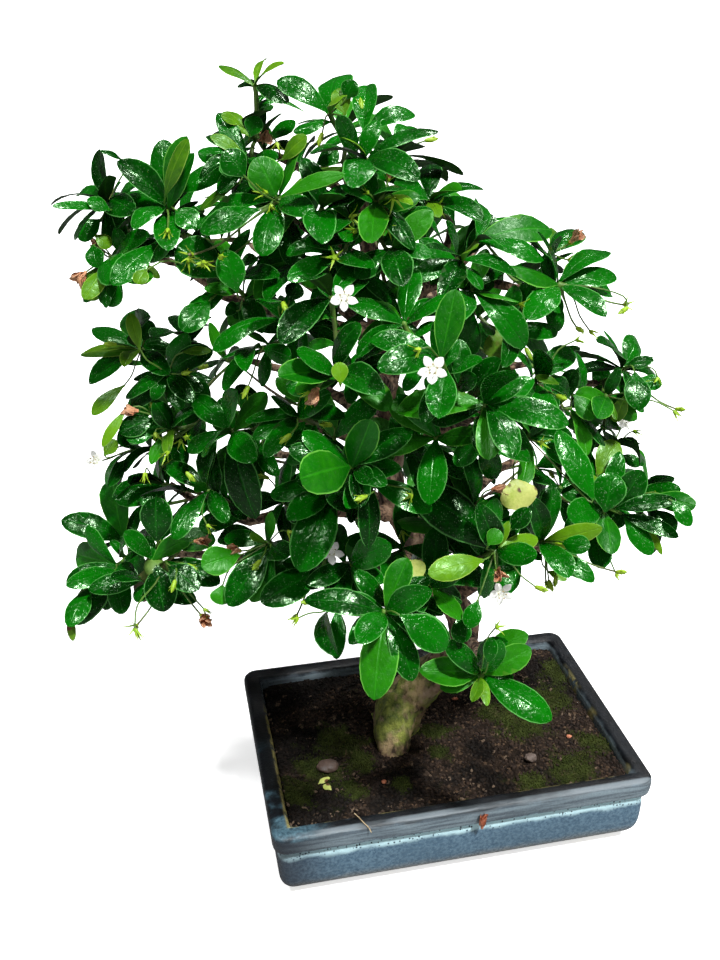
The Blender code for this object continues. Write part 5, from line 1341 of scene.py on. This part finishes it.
def spent_flower(shape, base, heading, petal=withered, leans=(0.12, 0.62), longest=9.2 * MM):
    """A dry corolla, folded together and twisted."""
    for k in range(PETALS):
        out = outward(heading, 2 * math.pi * k / PETALS + draw.uniform(-0.3, 0.3))
        lean = draw.uniform(*leans)
        sheet = Sheet(base + out * 0.5 * MM, (heading + out * lean).normalized(), out - heading * lean,
                      longest * draw.uniform(0.67, 1.0), draw.uniform(3.6, 5.0) * MM, rows=SHORT_ROWS,
                      outline=petal_outline, arch=draw.uniform(-0.1, 0.2), curl=0.7, thickness=0.3 * MM,
                      twist=draw.uniform(-1.6, 1.6), ripple=0.45, start=draw.uniform(0, 6))
        sheet.add_to(shape, draw.random(), petal, petal)
    add_stem(shape, rows_along(base, heading, (-0.2, 0.9), (1.8, 1.2), (3.0, 0.7)), 7, 0.4, petal)


def off_line(place, ray):
    """How far a place is from a line of sight."""
    return (place - EYE - ray * (place - EYE).dot(ray)).length


def fill_spot(spot, shoots, room):
    """A leaf from the nearest twig that reaches to where the view shows one."""
    ray = in_view(*spot).normalized()
    starts = []
    for shoot in shoots:
        for corners, out, _ in shoot.twig:
            middle = sum(corners, Vector()) / len(corners)
            starts.append((off_line(middle, ray), shoot, out, middle))
    starts = sorted(starts, key=lambda start: start[0])[:TWIG_TRIES]
    for off, shoot, out, foot in starts[::4]:
        aim = EYE + ray * (foot - EYE).dot(ray) - foot
        heading = (aim + SIGHT * draw.uniform(-0.3, 0.3) * off + out * 1.5 * MM).normalized()
        length = min(max(off + draw.uniform(5, 8) * MM, 13 * MM), 30 * MM)
        if shoot.put_leaf(room, *free_leaf(foot, heading, -SIGHT * 0.6 + UP * 0.6, length)):
            return


def add_single_leaf(spot, shoots, room):
    """A leaf where the view shows one, on a stalk from the knob or twig that is nearest in the
    view, at the first depth where there is room for it."""
    across, down, tip_across, tip_down, width, kind = (*spot, MATURE)[:6]
    middle_ray = in_view((across + tip_across) / 2, (down + tip_down) / 2).normalized()
    ray, far_ray = in_view(across, down).normalized(), in_view(tip_across, tip_down).normalized()
    seen = room.first_seen(middle_ray)
    starts = [(off_line(knob.middle, ray), shoot, knob.middle) for shoot in shoots for knob in shoot.knobs]
    starts += [(off_line(corners[0], ray) + 4 * MM, shoot, corners[0])
               for shoot in shoots for corners, *_ in shoot.twig[::3]]
    starts = sorted(starts, key=lambda start: start[0] + 0.1 * (start[2] - EYE).length)[:STALK_TRIES]
    for (_, shoot, start), rise, lean in itertools.product(starts[::3], LEAF_RISES, LEAF_LEANS):
        depth = (start - EYE).dot(ray) - rise * MM
        low = EYE + ray * depth
        span = (EYE + far_ray * depth - low).length
        high = EYE + far_ray * (depth + lean * span)
        if ((low + high) / 2 - EYE).length > seen:
            continue
        along = (high - low).normalized()
        sheet = Sheet(low, along, UP * 0.5 - SIGHT, (high - low).length, width * MM,
                      outline=leaf_outline(draw.uniform(0.5, 0.62)), curl=0.3, groove=RIB_GROOVE,
                      stalk=LEAF_STALK, twist=draw.uniform(-0.3, 0.3), ripple=0.1,
                      start=draw.uniform(0, 6), fold=draw.uniform(0, 0.4))
        if shoot.put_leaf(room, sheet, *LEAF_SIDES[kind]):
            shoot.add_stalk(start, (low - start + UP * 2 * MM).normalized(), low + along * MM, along)
            return


def add_seen_spray(spot, dress, shoots, room):
    """A spray from the knob nearest to a line of sight, whose end shows there in front of the
    leaves."""
    ray = in_view(*spot).normalized()
    near = [(off_line(knob.middle, ray) + 0.12 * (knob.middle - EYE).dot(ray), i, k)
            for i, shoot in enumerate(shoots) for k, knob in enumerate(shoot.knobs)]
    _, i, k = min(near)
    knob = shoots[i].knobs[k]
    far = (knob.middle - EYE).dot(ray)
    end = EYE + ray * max(far - SPRAY_RISE, min(far - 4 * MM, room.first_seen(ray) - 4 * MM))
    away = (end - knob.middle).normalized()
    heading = (knob.axis() + away - SIGHT * 0.4).normalized()
    arrival = (away * 0.3 - SIGHT * 0.3 - UP * 0.5 + RIGHT * draw.uniform(-0.9, 0.9)
               + UP * draw.uniform(-0.3, 0.5)).normalized()
    shoots[i].add_spray(knob, heading, end, arrival, dress)


def eased(points, ends, times):
    """Rounds off a mesh without thinning it: each step inwards is followed by one outwards."""
    count = np.bincount(ends.ravel(), minlength=len(points))[:, None]
    for step in (0.55, -0.57) * times:
        total = np.zeros_like(points)
        np.add.at(total, ends[:, 0], points[ends[:, 1]])
        np.add.at(total, ends[:, 1], points[ends[:, 0]])
        points = points + step * (total / count - points)
    return points


def root_lines():
    """The lines of the roots that spread into the soil, and of the foot's bulge to the front."""
    roots = [(angle, [(length, *row) for row in ROOT_ROWS]) for angle, length in ROOTS]
    bulge = [(far, MM, *row) for far, *row in FRONT_FOOT]
    for angle, rows in [*roots, (FRONT_FOOT_HEADING, bulge)]:
        out = Vector((math.cos(math.radians(angle)), math.sin(math.radians(angle)), 0))
        yield [(*(TRUNK_PLACE + out * reach * share + UP * (SOIL_TOP + high * MM)), thick * MM)
               for reach, share, high, thick in rows]


def dress_wood():
    """The trunk, the limbs, the spurs and the roots, grown together under one rough bark."""
    mesh = merged("wood")
    for line in root_lines():
        build_up(mesh, *round_stem(smooth_line(line, 4), 16))
    data = shaped(mesh, "REMESH", mode="VOXEL", voxel_size=BARK_GRAIN)
    ends = np.array([tuple(edge.vertices) for edge in data.edges])
    points = eased(np.array([tuple(v.co) for v in data.vertices]), ends, 12)
    data.vertices.foreach_set("co", points.ravel())
    data.update()
    tree = BVHTree.FromPolygons([v.co for v in data.vertices], faces_of(data))
    corners, marks = [], []
    for v in data.vertices:
        # half of the way through to the other side is about the radius of the wood there
        through = tree.ray_cast(v.co - v.normal * 0.05 * MM, -v.normal)[3]
        radius = min(max((through or THIN_LIMB) / 2, WOOD_RADII[0]), WOOD_RADII[1])
        # lumps that are broader and higher where the wood is thick; thin wood is filled out a little
        spot = Vector((v.co.x, v.co.y, v.co.z * 0.5)) * (130.0 - 3000 * radius)
        push = noise.fractal(spot, 0.75, 2.1, 4) * 0.15 * radius + 0.12 * max(0.0, FILLED_UNDER - radius)
        corners.append(v.co + v.normal * push)
        marks.append((0.0, min(max((radius - THIN_LIMB) / (THICK_LIMB - THIN_LIMB), 0.0), 1.0), 0.5))
    shape = Shape()
    shape.add(corners, faces_of(data), bark, marks)
    shape.piece("trunk_and_limbs", "bark", "wood", sharp=180)


# the two kinds of flower: how one is made, the names of its node and its piece, and its slot
FLOWER_LOOKS = ((spent_flower, "flower_spent", "withered_flower", "spent_petal"),
                (open_flower, "flower_open", "white_flower", "white_petal"))


def dress_tree():
    """The whole tree, its leaves and its flowers."""
    dress_wood()
    nodes = sorted(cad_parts)
    flowers = {node: read_flower(node) for node in nodes if node.startswith("flower_")}
    shoots = [Shoot(node) for node in nodes if node.startswith("shoot_")]
    for shoot in shoots:
        shoot.dress(flowers.values())
    forms = [(shoot.shape.corners, shoot.shape.faces) for shoot in shoots]
    for mesh in map(merged, ["wood", *flowers]):
        forms.append(([v.co.copy() for v in mesh.verts], faces_of(mesh)))
    room = Room(forms)
    for spot in SINGLE_LEAVES:
        add_single_leaf(spot, shoots, room)
    for spot in LEAFY_SPOTS:
        fill_spot(spot, shoots, room)
    for shoot in shoots:
        shoot.grow_lower_leaves(room)
    faded = Shape()

    def dress_faded(_, end, heading):
        spent_flower(faded, end, heading)

    for spots, dress in ((STARS, dress_star), (BUDS, dress_bud), (WITHERED_SPOTS, dress_faded)):
        for spot in spots:
            add_seen_spray(spot, dress, shoots, room)
    faded.piece("more_withered_flowers", "spent_petal")
    for shoot in shoots:
        shoot.shape.piece("leafy_" + shoot.node, "leaf", shoot.node)
    for node, at in flowers.items():
        dress, kind, name, slot = FLOWER_LOOKS[node.startswith("flower_open")]
        shape = Shape()
        dress(shape, *at)
        shape.piece(node.replace(kind, name), slot, node)


def rounded_profile(profile, times):
    """A profile with its corners cut finer and finer, but its two ends kept."""
    line = [Vector(p) for p in profile]
    for _ in range(times):
        cuts = [a.lerp(b, share) for a, b in zip(line, line[1:]) for share in (0.25, 0.75)]
        line = [line[0], *cuts, line[-1]]
    return line


def dress_pot():
    """The glazed pot with soft edges, its feet and its drain holes."""
    profile = rounded_profile(POT_PROFILE, 2)
    rings = [[pot_ring(inset * MM, z * MM, 10) for inset, z in profile]]
    size_x, size_y = POT_FOOT_SIZE
    for sx, sy in itertools.product((-1, 1), repeat=2):
        middle = Vector((sx * (POT_LENGTH / 2 - POT_FOOT_INSET - size_x / 2),
                         sy * (POT_WIDTH / 2 - POT_FOOT_INSET - size_y / 2), 0))
        foot = [ring(size_x / 2 - inset, size_y / 2 - inset, POT_FOOT_CORNER, z, 6)
                for inset, z in POT_FOOT_LEVELS]
        rings.append([[middle + p for p in level] for level in foot])
    whole, drains = bmesh.new(), bmesh.new()
    for levels in rings:
        build_up(whole, [p for level in levels for p in level], ring_faces(len(levels), len(levels[0])))
    for side in (-1, 1):
        bmesh.ops.create_cone(drains, cap_ends=True, segments=40, radius1=DRAIN_RADIUS, radius2=DRAIN_RADIUS,
                              depth=DRILL_LENGTH,
                              matrix=Matrix.Translation((side * DRAIN_ACROSS, 0, DRILL_LEVEL)))
    data = bpy.data.meshes.new("drains")
    drains.to_mesh(data)
    drains.free()
    cutter = bpy.data.objects.new("drains", data)
    drilled = shaped(whole, "BOOLEAN", operation="DIFFERENCE", solver="EXACT", use_self=True, object=cutter)
    bpy.data.objects.remove(cutter)
    shape = Shape()
    shape.add([v.co.copy() for v in drilled.vertices], faces_of(drilled), glaze)
    shape.piece("glazed_pot", "blue_glaze", "pot", sharp=50)


def soil_height(x, y):
    """The soil's uneven surface, a little higher round the trunk."""
    waves = (math.sin(x / (13 * MM) + 1.3) * math.cos(y / (9 * MM))
             + 0.6 * math.sin(y / (17 * MM) + x / (23 * MM)))
    near = math.exp(-((x - TRUNK_PLACE.x) ** 2 + (y - TRUNK_PLACE.y) ** 2) / MOUND_REACH**2)
    return SOIL_TOP + SOIL_ROUGHNESS * 0.55 * waves * (1 - near) + MOUND_HEIGHT * near


def moss_share(x, y):
    """How mossy the soil is there, from 0 to 1."""
    share = 0.0
    for across, down, radius in MOSS:
        spot = seen_at(across, down, SOIL_TOP)
        share = max(share, math.exp(-((x - spot.x) ** 2 + (y - spot.y) ** 2) / radius**2 * 1.1))
    rough = noise.fractal(Vector((x, y, 0.3)) * 85.0, 0.8, 2.0, 4)
    return max(0.0, min(1.0, (share + 0.42 * rough - 0.30) * 3.2))


def ground(x, y):
    """The height of the fine soil, with its lumps and cushions of moss."""
    lumps = noise.fractal(Vector((x, y, 0.0)) * 240.0, 0.75, 2.2, 4)
    return soil_height(x, y) + LUMP_HEIGHT * lumps + MOSS_HEIGHT * moss_share(x, y)


def resting(across, down, height):
    """A place on the soil that is seen there, lifted by half a thing's height."""
    spot = seen_at(across, down, SOIL_TOP)
    return Vector((spot.x, spot.y, ground(spot.x, spot.y) + height * 0.4))


def dress_soil():
    """The soil's fine surface, from the pot's wall in to the trunk."""
    gap, count = TOUCH_GAP / MM + 0.15, SOIL_FINE_COLUMNS
    rings = [even_ring((inset + gap) * MM, z * MM, count) for inset, z in SOIL_WALL]
    edge = even_ring((SOIL_EDGE + gap) * MM, SOIL_TOP, count)
    marks = [PLAIN_MARK] * (len(rings) * count)
    first = math.atan2(edge[0].y - TRUNK_PLACE.y, edge[0].x - TRUNK_PLACE.x)
    for k in range(SOIL_FINE_RINGS + 1):
        circle = []
        for i, p in enumerate(edge):
            angle = first + 2 * math.pi * i / count
            out = Vector((math.cos(angle), math.sin(angle), 0))
            hole = TRUNK_PLACE + out * (TRUNK_HOLE_RADIUS - SOIL_UNDER_TRUNK)
            spot = Vector((p.x, p.y, 0)).lerp(hole, k / SOIL_FINE_RINGS)
            circle.append(Vector((spot.x, spot.y, ground(spot.x, spot.y))))
            marks.append((moss_share(spot.x, spot.y), 0.0, 0.5))
        rings.append(circle)
    shape = Shape()
    shape.add([p for circle in rings for p in circle], ring_faces(len(rings), count), earth, marks)
    return shape.piece("soil_bed", "soil", "soil", sharp=180)


def scatter_tree(name, kind, measures):
    """A Geometry Nodes tree that strews small things over a surface, more where it is mossy
    or more where it is bare, and gives them a finish."""
    tree = bpy.data.node_groups.new(name, "GeometryNodeTree")
    for label, sort in SCATTER_TAKES.items():
        tree.interface.new_socket(label, in_out="INPUT", socket_type="NodeSocket" + sort)
    tree.interface.new_socket("Strewn", in_out="OUTPUT", socket_type="NodeSocketGeometry")
    r = Recipe(tree)
    given = tree.nodes.new("NodeGroupInput").outputs
    mossy = r.split(r.first("GeometryNodeInputNamedAttribute", {"Name": "mark"}, data_type="FLOAT_VECTOR"))[0]
    some = r.first("ShaderNodeMapRange", {0: mossy, 1: given["Moss from"], 2: given["Moss to"]})
    upper = r.maths("GREATER_THAN", r.split(r.first("GeometryNodeInputPosition"))[2], STREWN_ABOVE)
    points = r.first("GeometryNodeDistributePointsOnFaces",
                     {"Mesh": given["Ground"], "Selection": upper, "Density": r.times(some, given["Density"]),
                      "Seed": given["Seed"]})
    thing = r.first("GeometryNodeSetShadeSmooth", {0: r.first(kind, measures)})
    spin, size = (r.first("FunctionNodeRandomValue", {"Min": low, "Max": high, "Seed": given["Seed"]},
                          data_type="FLOAT_VECTOR")
                  for low, high in (((-1, -1, -3.2), (1, 1, 3.2)), ((0.45, 0.45, 0.4), (1.35, 1.35, 1.2))))
    tilt = r.first("ShaderNodeCombineXYZ", {0: given["Tilt"], 1: given["Tilt"], 2: 1.0})
    turn = r.first("ShaderNodeVectorMath", {0: spin, 1: tilt}, operation="MULTIPLY")
    size = r.first("ShaderNodeVectorMath", {0: size, "Scale": given["Size"]}, operation="SCALE")
    strewn = r.first("GeometryNodeInstanceOnPoints",
                     {"Points": points, "Instance": thing, "Rotation": turn, "Scale": size})
    strewn = r.first("GeometryNodeRealizeInstances", {0: strewn})
    strewn = r.first("GeometryNodeSetMaterial", {"Geometry": strewn, "Material": given["Finish"]})
    tree.links.new(strewn, tree.nodes.new("NodeGroupOutput").inputs[0])
    return tree


def strew(name, slot, tree, bed, **values):
    """Runs a scatter over the ground and keeps what it strews as a plain piece."""
    carrier = placed(name, bed.data.copy())
    modifier = carrier.modifiers.new("strew", "NODES")
    modifier.node_group = tree
    for socket in tree.interface.items_tree:
        label = socket.name.replace(" ", "_")
        if socket.in_out == "INPUT" and label in values:
            modifier[socket.identifier] = values[label]
    data = plain(carrier)
    carrier.modifiers.clear()
    carrier.data = data
    return settle(carrier, slot)


def dress_stone(name, node, slot, stone, roughness):
    """A worn stone that fills the room its solid has."""
    low, high = (Vector(c) - POT_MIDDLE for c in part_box(node))
    middle, half = (low + high) / 2, (high - low) / 2
    ball = rough_ball(4, 1.0)
    for v in ball.verts:
        v.co *= 1 + roughness * noise.fractal(v.co * 1.6, 0.8, 2.1, 4)
        v.co.z = max(v.co.z, -0.9)
    reach = [max(abs(v.co[i]) for v in ball.verts) for i in range(3)]
    corners = [Vector([middle[i] + v.co[i] / reach[i] * half[i] * STONE_SHARE for i in range(3)])
               for v in ball.verts]
    shape = Shape()
    shape.add(corners, faces_of(ball), stone)
    ball.free()
    shape.piece(name, slot, node, sharp=180)


def add_chip(shape, spot, length, width, height, turn):
    """A small, flat, uneven bit."""
    ball = rough_ball(2, 0.5)
    seed = Vector([draw.random() * 9 for _ in range(3)])
    corners = []
    for v in ball.verts:
        p = v.co * (1 + 0.5 * noise.noise(v.co * 2.2 + seed))
        p = Vector((p.x * length, p.y * width, p.z * height))
        corners.append(spot + Matrix.Rotation(turn, 3, "Z") @ p)
    shape.add(corners, faces_of(ball), orange)
    ball.free()


def dress_bits():
    """Small things that have dropped on the soil and on the pot."""
    chips, leaf, stalk, dropped = Shape(), Shape(), Shape(), Shape()
    for spot in ORANGE_BITS:
        add_chip(chips, resting(*spot, 1.6 * MM), draw.uniform(*CHIP_LENGTHS) * MM,
                 draw.uniform(*CHIP_WIDTHS) * MM, CHIP_HEIGHT, draw.uniform(0, 3))
    chips.piece("orange_bits", "soil")
    for across, down, turn, length in LEAF_BITS:
        along = Vector((math.cos(turn), math.sin(turn), 0.12)).normalized()
        foot = resting(across, down, 2.4 * MM) - along * length * 0.5
        sheet = Sheet(foot, along, UP + RIGHT * 0.3, length, length * 0.6, arch=0.12, stalk=0.3 * MM,
                      twist=0.5, ripple=0.2)
        sheet.add_to(leaf, 0.6, yellow, yellow)
    leaf.piece("dropped_leaf_bits", "leaf")
    rim = seen_at(*STRAW_SPOT, POT_HEIGHT)
    path = [(*(rim + Vector([far * MM for far in place])), STRAW_RADIUS) for place in STRAW]
    add_stem(stalk, smooth_line(path, 4), 5, 0.5, straw)
    stalk.piece("straw", "spent_petal")
    base = seen_at(*DROPPED_SPOT, -POT_WIDTH / 2, 1) + Vector((0, -1.0 * MM, -6.5 * MM))
    spent_flower(dropped, base, Vector((0.10, 0.04, 1)).normalized(), orange, (0.05, 0.26), 12 * MM)
    dropped.piece("dropped_flower", "spent_petal")


@finish("pale floor", Specular_IOR_Level=0.1, Emission_Color=(1, 1, 1, 1))
def pale_floor(r):
    """A floor that looks paler than it is in the light that it gives back."""
    path = r.node("ShaderNodeLightPath").outputs
    seen = path["Is Camera Ray"]
    share = r.minus(r.fade(seen, 0.0, 1.0, FLOOR_GIVES, FLOOR_SEEN), r.times(path["Is Glossy Ray"], 0.22))
    share = r.plus(share, r.times(r.grain(4.0, 2.0), 0.02))
    return {"Base_Color": r.blend(share, (0, 0, 0), (1, 1, 1)),
            "Roughness": r.fade(share, 0.0, 1.0, 0.85, 0.95),
            "Emission_Strength": r.times(seen, FLOOR_GLOW)}


def light_and_camera():
    """A pale floor, soft studio light, and the camera at the photograph's angle."""
    data = bpy.data.meshes.new("floor")
    corners = [(x * FLOOR_REACH, y * FLOOR_REACH, 0) for x, y in ((-1, -1), (1, -1), (1, 1), (-1, 1))]
    data.from_pydata(corners, [], [(0, 1, 2, 3)])
    data.materials.append(pale_floor)
    placed("floor", data)
    for name, heading, height, strength in LAMPS:
        lamp = bpy.data.lights.new(name, "SUN")
        lamp.energy, lamp.angle = strength, LAMP_SPREAD
        placed(name, lamp).rotation_euler = (math.pi / 2 - math.radians(height), 0, math.radians(heading))
    world = bpy.data.worlds.new("studio")
    world.use_nodes = True
    r = Recipe(world.node_tree)
    path = r.node("ShaderNodeLightPath").outputs
    colour, strength = world.node_tree.nodes["Background"].inputs[:2]
    colour.default_value = (1, 1, 1, 1)
    glow = r.fade(path["Is Glossy Ray"], 0.0, 1.0, STUDIO_GLOW, STUDIO_SHEEN)
    r.feed(strength, r.largest(glow, path["Is Camera Ray"]))
    lens = bpy.data.cameras.new("camera")
    lens.sensor_fit, lens.sensor_width, lens.sensor_height = "VERTICAL", FILM_SIZE, FILM_SIZE
    lens.lens = FILM_SIZE * SIGHT_FOCAL / PICTURE_SIZE[1]
    lens.shift_y = (PICTURE_MIDDLE[1] - PICTURE_SIZE[1] / 2) / PICTURE_SIZE[1]
    lens.clip_start = 0.01
    camera = placed("camera", lens)
    camera.location = EYE + POT_MIDDLE
    camera.rotation_euler = (math.pi / 2 - SIGHT_DIP, 0, -SIGHT_TURN)
    scene = bpy.context.scene
    scene.world, scene.camera = world, camera
    scene.view_settings.view_transform = "Standard"


def main():
    """Dresses the whole bonsai."""
    dress_tree()
    dress_pot()
    bed = dress_soil()
    strew("soil_crumbs", "soil", scatter_tree("crumbs", *CRUMB), bed, Density=1.9e5, Size=CRUMB_SIZE,
          Moss_from=0.9, Moss_to=0.2, Tilt=3.1, Seed=3, Finish=crumb)
    strew("moss_sprigs", "soil", scatter_tree("sprigs", *SPRIG), bed, Density=9.0e5, Size=SPRIG_SIZE,
          Moss_from=0.25, Moss_to=0.8, Tilt=0.6, Seed=4, Finish=moss)
    dress_stone("shell_pebble", "stone_brown", "stone_brown", brown_pebble, 0.10)
    dress_stone("pale_pebble", "stone_pale", "stone_pale", pale_pebble, 0.18)
    dress_bits()
    light_and_camera()


main()
